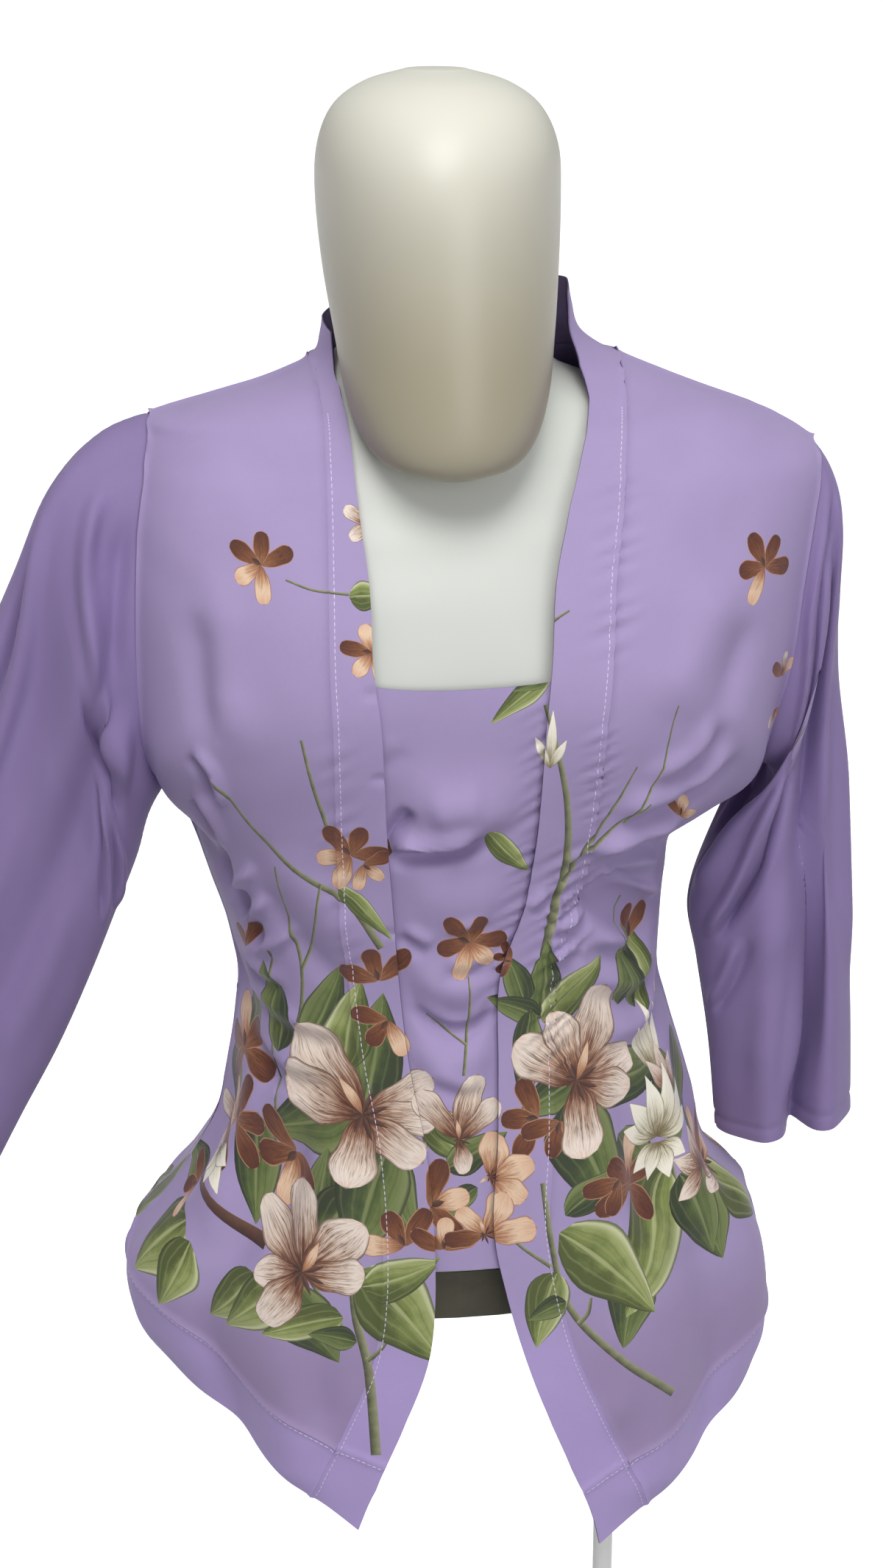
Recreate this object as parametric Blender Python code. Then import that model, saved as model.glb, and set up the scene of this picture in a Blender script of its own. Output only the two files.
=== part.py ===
"""A kebaya blouse worn by a limbless dress form with an egg-shaped head, on a rod and a round base.

Metres, +Z up, the blouse's front towards -Y. Sides are the wearer's: "r" is -X and "l" is +X.
The cloth lies on one surface round the trunk, body_point(angle, level). Angle 0 is the centre
front, -90 the right side, +90 the left side and 180 the centre back, in degrees. Level counts
the rows of BODY_RINGS from the tails up to the collar's top edge.
"""

import math

import bmesh
import bpy
import numpy as np

# ---------------------------------------------------------------- cloth sizes
CLOTH = 0.0012  # wall of one layer
BAND_CLOTH = 0.0018  # wall of the folded bands
SEAM_INSET = 0.0002  # each piece stops this short of its seam
SLEEVE_INSET = 0.0007  # and the sleeves, whose seams curve, this short
CENTRE_DROP = 0.0050  # the centre panel lies this far under the fronts
CENTRE_UNDERLAP = 0.014  # and runs this far behind each band
CENTRE_TOP = 0.822
CENTRE_SAG = 0.007
CENTRE_BOTTOM = 0.448
CENTRE_EASE = 0.35  # share of the panel's width over which its puffs fade to the bands
PUFF_SAG = 0.010  # the middle of each puff hangs this much lower
TOP_SAG_POWER = 8  # how closely the sag keeps to the top edge

SIDE = {"r": -1.0, "l": 1.0}
TAIL_TIP = {"r": 0.270, "l": 0.247}  # heights of the two pointed tails
TAIL_HEM = {"r": 0.293, "l": 0.270}  # the hem's edge where it meets the band
TAIL_SEAM = {"r": 0.330, "l": 0.307}  # the hem strip's seam at the band
SIDE_HEM = {"r": 0.390, "l": 0.346}
SIDE_SEAM = {"r": 0.429, "l": 0.387}
UNDERARM = {"r": 0.731, "l": 0.735}
SHOULDER_TIP = {"r": 0.954, "l": 0.932}
NECK_SEAM = 0.986
COLLAR_TOP = {"r": 1.009, "l": 1.030}
COLLAR_BACK_TOP = 1.025
COLLAR_RISE = 5.0  # levels over which the band's free edge climbs to the collar's top
TIP_FALL = 2.0  # levels over which the band's free edge drops to the tail's tip
ARMHOLE_SCOOP = {"front": 19.0, "back": 17.0}  # degrees cut in from the side
SCOOP_POWER = 0.8
BACK_RISE_POWER = 2.4  # how late the back's rows bend up to the shoulders

# Sections of the blouse's outer face: half widths, then y of the centre front, side and centre back.
BODY_RINGS = (
    # height, r half, l half, front y, side y, back y, squareness
    (0.240, 0.160, 0.190, -0.136, -0.002, 0.112, 0.12),
    (0.290, 0.170, 0.202, -0.137, -0.002, 0.114, 0.12),
    (0.335, 0.184, 0.209, -0.137, -0.002, 0.116, 0.12),
    (0.376, 0.199, 0.212, -0.136, -0.002, 0.118, 0.12),
    (0.410, 0.206, 0.209, -0.134, -0.002, 0.119, 0.12),
    (0.431, 0.197, 0.203, -0.132, -0.001, 0.118, 0.12),
    (0.449, 0.179, 0.196, -0.130, 0.000, 0.116, 0.12),
    (0.472, 0.162, 0.172, -0.127, 0.001, 0.112, 0.12),
    (0.505, 0.144, 0.164, -0.121, 0.002, 0.106, 0.12),
    (0.536, 0.137, 0.155, -0.115, 0.003, 0.099, 0.12),
    (0.570, 0.131, 0.145, -0.109, 0.004, 0.092, 0.10),
    (0.603, 0.129, 0.139, -0.105, 0.005, 0.088, 0.10),
    (0.635, 0.134, 0.139, -0.106, 0.004, 0.088, 0.10),
    (0.667, 0.144, 0.141, -0.110, 0.003, 0.090, 0.10),
    (0.696, 0.153, 0.146, -0.114, 0.002, 0.094, 0.10),
    (0.714, 0.162, 0.172, -0.117, 0.001, 0.097, 0.12),
    (0.732, 0.173, 0.192, -0.119, 0.001, 0.100, 0.14),
    (0.765, 0.188, 0.206, -0.121, 0.001, 0.104, 0.20),
    (0.805, 0.193, 0.219, -0.121, 0.002, 0.107, 0.22),
    (0.850, 0.194, 0.226, -0.113, 0.003, 0.108, 0.22),
    (0.890, 0.192, 0.233, -0.096, 0.006, 0.105, 0.20),
    (0.918, 0.187, 0.236, -0.080, 0.009, 0.099, 0.18),
    (0.932, 0.184, 0.229, -0.070, 0.012, 0.094, 0.15),
    (0.945, 0.179, 0.209, -0.062, 0.014, 0.088, 0.12),
    (0.954, 0.173, 0.189, -0.056, 0.016, 0.083, 0.10),
    (0.964, 0.138, 0.161, -0.050, 0.018, 0.078, 0.08),
    (0.974, 0.103, 0.135, -0.046, 0.019, 0.073, 0.05),
    (0.986, 0.077, 0.107, -0.044, 0.020, 0.069, 0.00),
    (1.000, 0.071, 0.086, -0.043, 0.020, 0.070, 0.00),
    (1.018, 0.069, 0.080, -0.043, 0.020, 0.073, 0.00),
    (1.036, 0.068, 0.077, -0.043, 0.020, 0.076, 0.00),
)

# The bands along the front opening: x of the free edge and of the seam, by height.
FRONT_EDGES = (
    # height, r free, r seam, l free, l seam
    (0.240, -0.075, -0.112, 0.090, 0.128),
    (0.270, -0.066, -0.102, 0.083, 0.119),
    (0.300, -0.055, -0.091, 0.071, 0.107),
    (0.350, -0.036, -0.071, 0.052, 0.086),
    (0.390, -0.022, -0.056, 0.038, 0.070),
    (0.430, -0.0175, -0.050, 0.027, 0.060),
    (0.475, -0.0175, -0.049, 0.019, 0.054),
    (0.525, -0.0215, -0.052, 0.0225, 0.057),
    (0.575, -0.0305, -0.060, 0.0235, 0.058),
    (0.632, -0.0365, -0.066, 0.0245, 0.060),
    (0.676, -0.040, -0.070, 0.0385, 0.073),
    (0.725, -0.044, -0.073, 0.0445, 0.079),
    (0.794, -0.0475, -0.075, 0.0475, 0.083),
    (0.830, -0.0515, -0.076, 0.0515, 0.087),
    (0.873, -0.052, -0.075, 0.0555, 0.091),
    (0.912, -0.056, -0.074, 0.066, 0.098),
    (0.940, -0.058, -0.0735, 0.076, 0.102),
    (0.960, -0.060, -0.0735, 0.082, 0.105),
    (0.976, -0.063, -0.0745, 0.083, 0.106),
    (0.992, -0.066, -0.0750, 0.076, 0.107),
)

# Folds of the trunk's cloth: soft ridges (height above 0) and valleys along a straight line.
BODY_FOLDS = (
    # name, start angle, start height, end angle, end height, half width, height
    ("peplum flute r", -76, 0.38, -70, 0.47, 0.022, 0.006),
    ("peplum valley r", -52, 0.33, -50, 0.50, 0.020, -0.008),
    ("peplum roll r", -36, 0.31, -30, 0.50, 0.020, 0.006),
    ("peplum flute l", 74, 0.35, 68, 0.47, 0.022, 0.006),
    ("peplum valley l", 55, 0.31, 50, 0.50, 0.020, -0.008),
    ("peplum roll l", 38, 0.29, 32, 0.50, 0.020, 0.006),
    ("waist tuck r", -60, 0.56, -84, 0.60, 0.014, -0.005),
    ("waist tuck l", 58, 0.56, 84, 0.59, 0.014, -0.005),
    ("side drag r", -62, 0.66, -86, 0.72, 0.015, -0.005),
    ("under bust roll l", 36, 0.70, 62, 0.665, 0.013, 0.005),
    ("under bust tuck l", 34, 0.675, 60, 0.640, 0.011, -0.005),
    ("bust drape l", 45, 0.79, 74, 0.735, 0.020, 0.006),
    ("bust drape r", -45, 0.79, -74, 0.735, 0.020, 0.005),
    ("back valley r", 226, 0.50, 214, 0.64, 0.016, -0.006),
    ("back roll r", 204, 0.40, 200, 0.62, 0.018, 0.005),
    ("back valley l", 134, 0.50, 146, 0.64, 0.016, -0.006),
    ("back roll l", 156, 0.40, 160, 0.62, 0.018, 0.005),
    ("back flute r", 238, 0.36, 236, 0.46, 0.024, 0.009),
    ("back flute l", 122, 0.36, 124, 0.46, 0.024, 0.009),
    ("yoke drag r", 230, 0.88, 250, 0.80, 0.022, -0.005),
    ("yoke drag l", 130, 0.88, 110, 0.80, 0.022, -0.005),
)

# The bust, as two low round swellings of both cloth and form.
BUST_X = 0.076
BUST_HEIGHT = 0.796
BUST_RADIUS = 0.052
BUST_SWELL = {"cloth": 0.009, "form": 0.013}

SIDE_BLEND = 0.2  # sine of the angle over which the two half widths blend at the centre
FOLD_RADIUS = 0.15  # the radius at which a fold's angles are read as lengths
NORMAL_LEVELS = 0.01  # steps of the surface's differences
NORMAL_DEGREES = 0.2
LINE_POINTS = 80

# Puffs of the centre panel between the bands.
CENTRE_FOLDS = (
    # name, height at r side, height at l side, half width, height
    ("bust puff", 0.755, 0.745, 0.022, 0.007),
    ("bust crease", 0.722, 0.734, 0.009, -0.004),
    ("rib puff", 0.690, 0.690, 0.020, 0.004),
    ("waist puff", 0.640, 0.628, 0.016, 0.006),
    ("waist crease", 0.617, 0.606, 0.009, -0.004),
    ("hip puff", 0.575, 0.580, 0.022, 0.004),
)

# Sleeves: the outer and the inner edge of the flattened tube, and how far it stands out.
SLEEVE_RINGS = {
    "r": (
        # share of length, outer x, outer z, inner x, inner z, middle y, front depth, back depth
        (0.00, -0.176, 0.954, -0.174, 0.731, 0.005, 0.050, 0.050),
        (0.06, -0.205, 0.942, -0.183, 0.712, 0.004, 0.047, 0.047),
        (0.14, -0.234, 0.912, -0.190, 0.684, 0.002, 0.042, 0.044),
        (0.26, -0.258, 0.860, -0.204, 0.648, 0.000, 0.034, 0.036),
        (0.42, -0.289, 0.793, -0.222, 0.604, 0.000, 0.029, 0.031),
        (0.60, -0.322, 0.716, -0.244, 0.556, 0.000, 0.027, 0.028),
        (0.80, -0.360, 0.628, -0.270, 0.508, 0.000, 0.026, 0.027),
        (1.00, -0.396, 0.543, -0.296, 0.458, 0.000, 0.026, 0.026),
    ),
    "l": (
        (0.00, 0.229, 0.932, 0.194, 0.735, 0.005, 0.050, 0.050),
        (0.05, 0.239, 0.916, 0.208, 0.726, 0.004, 0.047, 0.048),
        (0.10, 0.243, 0.894, 0.209, 0.708, 0.003, 0.043, 0.045),
        (0.18, 0.245, 0.850, 0.192, 0.686, 0.002, 0.039, 0.040),
        (0.28, 0.248, 0.795, 0.170, 0.668, 0.001, 0.036, 0.036),
        (0.42, 0.254, 0.725, 0.159, 0.636, 0.000, 0.034, 0.032),
        (0.60, 0.260, 0.650, 0.166, 0.596, 0.000, 0.033, 0.030),
        (0.80, 0.266, 0.565, 0.175, 0.540, -0.002, 0.033, 0.030),
        (1.00, 0.269, 0.492, 0.181, 0.480, -0.004, 0.034, 0.030),
    ),
}
SLEEVE_LOOP_FADE = 0.30  # share of the length over which the armhole's shape fades out
SLEEVE_TOP_FADE = 0.12  # and over which its own ends pull the sleeve's edges to them
SLEEVE_FOLD_START = 0.15  # and over which the folds grow
SLEEVE_FOLD_EDGE = 0.5  # sine of the turn over which a fold fades out at the sleeve's edges

# Lengthwise folds of the sleeves. Across runs from 1 at the outer edge to -1 at the inner edge.
SLEEVE_FOLDS = {
    "r": (
        # name, face, across at top, across at cuff, half width, depth at top, depth at cuff
        ("outer valley", "front", 0.42, 0.50, 0.20, -0.004, -0.008),
        ("middle roll", "front", 0.05, 0.10, 0.22, 0.005, 0.004),
        ("inner valley", "front", -0.35, -0.35, 0.20, -0.010, -0.006),
        ("back valley", "back", 0.10, 0.05, 0.30, -0.006, -0.008),
    ),
    "l": (
        ("outer groove", "front", 0.62, 0.08, 0.16, -0.012, -0.030),
        ("outer roll", "front", 0.86, 0.55, 0.20, 0.003, 0.006),
        ("inner roll", "front", 0.10, -0.45, 0.24, 0.002, 0.007),
        ("back valley", "back", 0.10, 0.05, 0.30, -0.006, -0.010),
    ),
}

# Mesh density
SIDE_ROWS = 16  # from the hem seam to the underarm
ARM_ROWS = 12  # from the underarm to the shoulder tip
FRONT_COLUMNS = 12
SHOULDER_COLUMNS = 6  # of the back, on each side of its neck
NECK_ROWS = 6  # of each band, from the shoulder to the centre back
BACK_COLUMNS = 2 * (SHOULDER_COLUMNS + NECK_ROWS)
HEM_ROWS = 3
BAND_COLUMNS = 3
CENTRE_ROWS = 20
CENTRE_COLUMNS = 10
SLEEVE_ROWS = 20

# ---------------------------------------------------------------- form and stand sizes
FORM_RINGS = (
    # height, half width, front y, side y, back y, squareness
    (0.400, 0.150, -0.098, 0.000, 0.098, 0.15),
    (0.430, 0.154, -0.101, 0.000, 0.102, 0.15),
    (0.470, 0.152, -0.101, 0.001, 0.101, 0.15),
    (0.510, 0.138, -0.096, 0.002, 0.094, 0.12),
    (0.555, 0.123, -0.088, 0.003, 0.083, 0.10),
    (0.603, 0.117, -0.083, 0.004, 0.077, 0.10),
    (0.655, 0.124, -0.087, 0.003, 0.079, 0.10),
    (0.710, 0.137, -0.096, 0.002, 0.086, 0.12),
    (0.765, 0.147, -0.106, 0.002, 0.093, 0.14),
    (0.810, 0.152, -0.106, 0.002, 0.098, 0.16),
    (0.855, 0.156, -0.098, 0.004, 0.100, 0.16),
    (0.893, 0.161, -0.082, 0.007, 0.097, 0.15),
    (0.920, 0.165, -0.067, 0.010, 0.091, 0.12),
    (0.940, 0.165, -0.056, 0.014, 0.083, 0.10),
    (0.9515, 0.158, -0.049, 0.016, 0.072, 0.08),
    (0.9622, 0.1372, -0.043, 0.018, 0.066, 0.06),
    (0.9707, 0.1000, -0.039, 0.019, 0.064, 0.04),
    (0.981, 0.0710, -0.036, 0.020, 0.064, 0.00),
    (0.994, 0.0590, -0.034, 0.020, 0.061, 0.00),
    (1.020, 0.0540, -0.034, 0.020, 0.060, 0.00),
    (1.060, 0.0520, -0.032, 0.020, 0.058, 0.00),
)
FORM_AROUND = 36
FORM_TRUNK_ROWS = 16
FORM_SHOULDER = 0.900  # above it the sections stand as close as FORM_RINGS gives them

HEAD_RINGS = (
    # height, middle x, half width, middle y, half depth
    (0.932, -0.002, 0.017, -0.080, 0.020),
    (0.938, -0.002, 0.038, -0.073, 0.039),
    (0.952, -0.002, 0.0510, -0.061, 0.057),
    (0.975, -0.002, 0.0590, -0.049, 0.070),
    (1.005, -0.002, 0.0635, -0.035, 0.081),
    (1.045, -0.003, 0.0685, -0.020, 0.091),
    (1.085, -0.0035, 0.0710, -0.010, 0.097),
    (1.112, -0.003, 0.0695, -0.005, 0.093),
    (1.133, -0.003, 0.0600, -0.001, 0.080),
    (1.146, -0.003, 0.0420, 0.001, 0.056),
    (1.153, -0.003, 0.0180, 0.003, 0.024),
)
HEAD_AROUND = 28

CAP_HEIGHT = 0.034
CAP_GROW = 0.0005
POLE_RADIUS = 0.0065
POLE_PLACE = (0.105, -0.040)  # a rod set off centre, behind the left tail
BASE_RADIUS = 0.140
BASE_HEIGHT = 0.010
BASE_BEVEL = 0.003
FACE_GAP = 0.0003

SNAP_RADIUS = 0.0035
SNAP_THICK = 0.0017
SNAP_SIDES = 14
SNAP_SET_BACK = 0.008  # from the band's free edge
SNAP_HEIGHTS = (0.815, 0.764, 0.715, 0.662)


# ---------------------------------------------------------------- interpolation
def smoothstep(value):
    value = np.clip(value, 0.0, 1.0)
    return value * value * (3.0 - 2.0 * value)


def curve(values, at):
    """Catmull-Rom through values, which stand at 0, 1, 2 and so on."""
    values = np.asarray(values, float)
    padded = np.concatenate([[2 * values[0] - values[1]], values, [2 * values[-1] - values[-2]]])
    at = np.clip(np.asarray(at, float), 0.0, len(values) - 1.0)
    low = np.minimum(at.astype(int), len(values) - 2)
    share = at - low
    before, start, end, after = (padded[low + step] for step in range(4))
    return 0.5 * (
        2 * start
        + (end - before) * share
        + (2 * before - 5 * start + 4 * end - after) * share**2
        + (3 * start - before - 3 * end + after) * share**3
    )


def column(rows, index):
    return [row[index] for row in rows]


def level_of(height):
    """The level at which the blouse's surface reaches this height."""
    levels = np.linspace(0, len(BODY_RINGS) - 1, 40 * len(BODY_RINGS))
    return np.interp(height, curve(column(BODY_RINGS, 0), levels), levels)


def height_curve(index, height):
    """A column of FRONT_EDGES at this height."""
    heights = column(FRONT_EDGES, 0)
    return curve(column(FRONT_EDGES, index), np.interp(height, heights, range(len(heights))))


# ---------------------------------------------------------------- the trunk's surface
def ring_point(angle, half_width, front, side, back, square):
    """A point of one section, at an angle in degrees."""
    turn = np.radians(angle)
    sine, cosine = np.sin(turn), np.cos(turn)
    depth = np.where(cosine > 0, front - side, side - back)
    reach = 1.0 + square * sine**2
    return half_width * sine, side + depth * cosine * reach


def bust(x, y, height, swell):
    """How far the bust stands out at a point of the front."""
    rise = 0.0
    for centre in (-BUST_X, BUST_X):
        rise = rise + np.exp(-((x - centre) ** 2 + (height - BUST_HEIGHT) ** 2) / BUST_RADIUS**2)
    return swell * rise * (y < 0)


def body_base(angle, level):
    """The blouse's outer face with no folds."""
    angle, level = np.broadcast_arrays(np.asarray(angle, float), np.asarray(level, float))
    height, right, left, front, side, back, square = (
        curve(column(BODY_RINGS, index), level) for index in range(7)
    )
    blend = 0.5 + 0.5 * np.clip(np.sin(np.radians(angle)) / SIDE_BLEND, -1, 1)
    half_width = right + (left - right) * smoothstep(blend)
    x, y = ring_point(angle, half_width, front, side, back, square)
    return np.stack([x, y - bust(x, y, height, BUST_SWELL["cloth"]), height], -1)


def normals_of(face, angle, level):
    """Outward normals of a surface function, by central differences."""
    along = face(angle + NORMAL_DEGREES, level) - face(angle - NORMAL_DEGREES, level)
    upward = face(angle, level + NORMAL_LEVELS) - face(angle, level - NORMAL_LEVELS)
    normal = np.cross(along, upward)
    return normal / np.linalg.norm(normal, axis=-1, keepdims=True)


def fold_height(angle, point):
    """The folds' height above the plain surface."""
    turned = (angle + 90.0) % 360.0 - 90.0
    total = np.zeros(turned.shape)
    metres = math.radians(1.0) * FOLD_RADIUS
    for _, angle_0, height_0, angle_1, height_1, half_width, rise in BODY_FOLDS:
        along = np.array([(angle_1 - angle_0) * metres, height_1 - height_0])
        across = (turned - angle_0) * metres
        climb = point[..., 2] - height_0
        share = np.clip((across * along[0] + climb * along[1]) / (along @ along), 0, 1)
        distance = (across - share * along[0]) ** 2 + (climb - share * along[1]) ** 2
        total = total + rise * np.exp(-distance / half_width**2)
    return total


def body_point(angle, level):
    """The blouse's outer face, folds included."""
    angle, level = np.broadcast_arrays(np.asarray(angle, float), np.asarray(level, float))
    base = body_base(angle, level)
    rise = fold_height(angle, base)
    return base + normals_of(body_base, angle, level) * rise[..., None]


def angle_at(x, level):
    """The front angle at which the surface reaches this x."""
    half = curve(column(BODY_RINGS, 1 if x < 0 else 2), level)
    return math.degrees(math.asin(max(-1.0, min(1.0, x / float(half)))))


# ---------------------------------------------------------------- seams, as lines of (angle, level)
def evenly(line, shares):
    """Points of a line of (angle, level) at shares of its length in space."""
    line = np.asarray(line, float)
    points = body_point(line[:, 0], line[:, 1])
    steps = np.linalg.norm(np.diff(points, axis=0), axis=1)
    length = np.concatenate([[0.0], np.cumsum(steps)])
    length /= length[-1]
    return np.stack([np.interp(shares, length, line[:, axis]) for axis in (0, 1)], -1)


def shares_of(count):
    return np.linspace(0.0, 1.0, count + 1)


def front_line(side, index, low, high):
    """The band's free edge or seam between two heights."""
    offset = 0 if side == "r" else 2
    line = []
    for height in np.linspace(low, high, LINE_POINTS):
        level = float(level_of(height))
        line.append((angle_at(float(height_curve(index + offset, height)), level), level))
    return line


def band_seam(side):
    """From the hem's edge to the neck seam's end on the shoulder."""
    sign = SIDE[side]
    neck = float(level_of(NECK_SEAM))
    line = front_line(side, 2, TAIL_SEAM[side], NECK_SEAM - 0.004)
    return line + [(sign * 90.0, neck)]


def side_line(side, low, high):
    levels = level_of(np.linspace(low, high, LINE_POINTS))
    return np.stack([np.full(LINE_POINTS, SIDE[side] * 90.0), levels], -1)


def armhole(side, face):
    """From the underarm to the shoulder tip, round the front or the back."""
    share = np.linspace(0.0, 1.0, LINE_POINTS)
    low, high = (float(level_of(table[side])) for table in (UNDERARM, SHOULDER_TIP))
    lean = ARMHOLE_SCOOP[face] * np.sin(math.pi * share) ** SCOOP_POWER
    angle = 90.0 + (lean if face == "back" else -lean)
    level = low + (high - low) * (1.0 - np.cos(math.pi * share)) / 2
    return np.stack([SIDE[side] * angle, level], -1)


def side_edge(side, face):
    """A panel's outer edge: the side seam and then the armhole."""
    lower = evenly(side_line(side, SIDE_SEAM[side], UNDERARM[side]), shares_of(SIDE_ROWS))
    upper = evenly(armhole(side, face), shares_of(ARM_ROWS))
    return np.concatenate([lower, upper[1:]])


def ruled(first, second, columns, start=0.0, end=1.0):
    """A grid of (angle, level) between two lines with the same number of points."""
    share = np.linspace(start, end, columns + 1)[None, :, None]
    return np.asarray(first)[:, None, :] * (1 - share) + np.asarray(second)[:, None, :] * share


# ---------------------------------------------------------------- walls
def inset_edges(grid):
    """Draws the outermost points in, so that the piece stops short of its seams."""
    grid = grid.copy()
    for near, far in ((0, 1), (-1, -2)):
        for view in (grid, grid.swapaxes(0, 1)):
            inward = view[far] - view[near]
            length = np.linalg.norm(inward, axis=-1, keepdims=True)
            view[near] += inward * SEAM_INSET / length
    return grid


def mesh_object(name, points, faces, material):
    mesh = bpy.data.meshes.new(name)
    mesh.from_pydata([tuple(map(float, point)) for point in points], [], faces)
    mesh.materials.append(material)
    shape = bmesh.new()
    shape.from_mesh(mesh)
    bmesh.ops.recalc_face_normals(shape, faces=shape.faces)
    shape.to_mesh(mesh)
    shape.free()
    obj = bpy.data.objects.new(name, mesh)
    bpy.context.scene.collection.objects.link(obj)
    return obj


def sheet_wall(name, outer, inner, material):
    """A closed wall between two grids of points."""
    rows, columns = outer.shape[:2]
    size = rows * columns
    faces = []

    def at(row, col, layer):
        return layer * size + row * columns + col

    for row in range(rows - 1):
        for col in range(columns - 1):
            corners = ((row, col), (row, col + 1), (row + 1, col + 1), (row + 1, col))
            faces.append([at(*corner, 0) for corner in corners])
            faces.append([at(*corner, 1) for corner in reversed(corners)])
    border = [(0, col) for col in range(columns)]
    border += [(row, columns - 1) for row in range(1, rows)]
    border += [(rows - 1, col) for col in range(columns - 2, -1, -1)]
    border += [(row, 0) for row in range(rows - 2, 0, -1)]
    for here, there in zip(border, border[1:] + border[:1]):
        faces.append([at(*there, 0), at(*here, 0), at(*here, 1), at(*there, 1)])
    points = np.concatenate([outer.reshape(-1, 3), inner.reshape(-1, 3)])
    return mesh_object(name, points, faces, material)


def panel(name, grid, thick, material, lift=0.0):
    """A wall of cloth on the trunk's surface, from a grid of (angle, level)."""
    angle, level = grid[..., 0], grid[..., 1]
    normal = normals_of(body_point, angle, level)
    outer = inset_edges(body_point(angle, level) + normal * lift)
    return sheet_wall(name, outer, outer - normal * thick, material)


# ---------------------------------------------------------------- the blouse's pieces
def make_front(side, material):
    seam = evenly(band_seam(side), shares_of(SIDE_ROWS + ARM_ROWS))
    grid = ruled(seam, side_edge(side, "front"), FRONT_COLUMNS)
    panel(f"front_{side}", grid, CLOTH, material)


def make_front_hem(side, material):
    """The strip along the pointed tail's hem."""
    inner = evenly(front_line(side, 2, TAIL_HEM[side], TAIL_SEAM[side]), shares_of(HEM_ROWS))
    outer = evenly(side_line(side, SIDE_HEM[side], SIDE_SEAM[side]), shares_of(HEM_ROWS))
    panel(f"hem_{side}", ruled(inner, outer, FRONT_COLUMNS), CLOTH, material)


def back_grid(low, high, rows):
    lines = []
    for side in ("l", "r"):
        lines.append(evenly(side_line(side, low[side], high[side]), shares_of(rows)))
    lines[1][:, 0] += 360.0
    return ruled(lines[0], lines[1], BACK_COLUMNS)


def neck_path(share):
    """The back's top edge: shoulder seam, back neck, shoulder seam."""
    neck = float(level_of(NECK_SEAM))
    tips = [float(level_of(SHOULDER_TIP[side])) for side in ("l", "r")]
    corner = SHOULDER_COLUMNS / BACK_COLUMNS
    corners = (0.0, corner, 1.0 - corner, 1.0)
    angle = np.interp(share, corners, (90.0, 90.0, 270.0, 270.0))
    level = np.interp(share, corners, (tips[0], neck, neck, tips[1]))
    return np.stack([angle, level], -1)


def make_back(material):
    left = side_edge("l", "back")
    right = side_edge("r", "back")
    right[:, 0] += 360.0
    grid = ruled(left, right, BACK_COLUMNS)
    above = np.clip((np.arange(SIDE_ROWS + ARM_ROWS + 1) - SIDE_ROWS) / ARM_ROWS, 0, 1)
    rise = above**BACK_RISE_POWER
    top = neck_path(shares_of(BACK_COLUMNS))
    grid += rise[:, None, None] * (top - grid[-1])[None]
    panel("back", grid, CLOTH, material)


def make_band(side, material):
    """The band from the tail's tip up the front and round the neck to the centre back."""
    sign = SIDE[side]
    neck, top = float(level_of(NECK_SEAM)), float(level_of(COLLAR_TOP[side]))
    corner = front_line(side, 2, TAIL_HEM[side], TAIL_SEAM[side])
    lower = evenly(corner, shares_of(HEM_ROWS))
    upper = evenly(band_seam(side), shares_of(SIDE_ROWS + ARM_ROWS))
    seam = np.concatenate([lower, upper[1:]])
    tip_level = float(level_of(TAIL_TIP[side]))
    # The free edge's levels follow the seam's, drawn down to the tip and up to the collar's top.
    fall = 1 - smoothstep((seam[:, 1] - seam[0, 1]) / TIP_FALL)
    fall *= level_of(TAIL_HEM[side]) - tip_level
    climb = (top - neck) * smoothstep((seam[:, 1] - neck) / COLLAR_RISE + 1)
    free_levels = seam[:, 1] - fall + climb
    heights = curve(column(BODY_RINGS, 0), free_levels)
    offset = 0 if side == "r" else 2
    free = []
    for height, level in zip(heights, free_levels):
        x = float(height_curve(1 + offset, float(height)))
        free.append((angle_at(x, level), level))
    free[-1] = (sign * 90.0, top)
    round_neck = shares_of(NECK_ROWS)[1:] * 90.0 * sign + 90.0 * sign
    seam_back = np.stack([round_neck, np.full(NECK_ROWS, neck)], -1)
    back_top = top + (level_of(COLLAR_BACK_TOP) - top) * smoothstep(shares_of(NECK_ROWS)[1:])
    free_back = np.stack([round_neck, back_top], -1)
    grid = ruled(
        np.concatenate([free, free_back]), np.concatenate([seam, seam_back]), BAND_COLUMNS
    )
    panel(f"band_{side}", grid, BAND_CLOTH, material)


def centre_face(angle, level):
    """The centre panel's outer face, between the bands."""
    base = body_point(angle, level)
    normal = normals_of(body_point, angle, level)
    height = base[..., 2]
    edge_r = np.vectorize(lambda z: float(height_curve(1, z)))(height)
    edge_l = np.vectorize(lambda z: float(height_curve(3, z)))(height)
    share = (base[..., 0] - edge_r) / (edge_l - edge_r)
    open_part = smoothstep(share / CENTRE_EASE) * smoothstep((1 - share) / CENTRE_EASE)
    puff = 0.0
    for _, height_r, height_l, half_width, rise in CENTRE_FOLDS:
        middle = height_r + (height_l - height_r) * np.clip(share, 0, 1)
        middle = middle - PUFF_SAG * 4 * share * (1 - share)
        puff = puff + rise * np.exp(-(((height - middle) / half_width) ** 2))
    return base + normal * (open_part * puff - CENTRE_DROP)[..., None]


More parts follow.
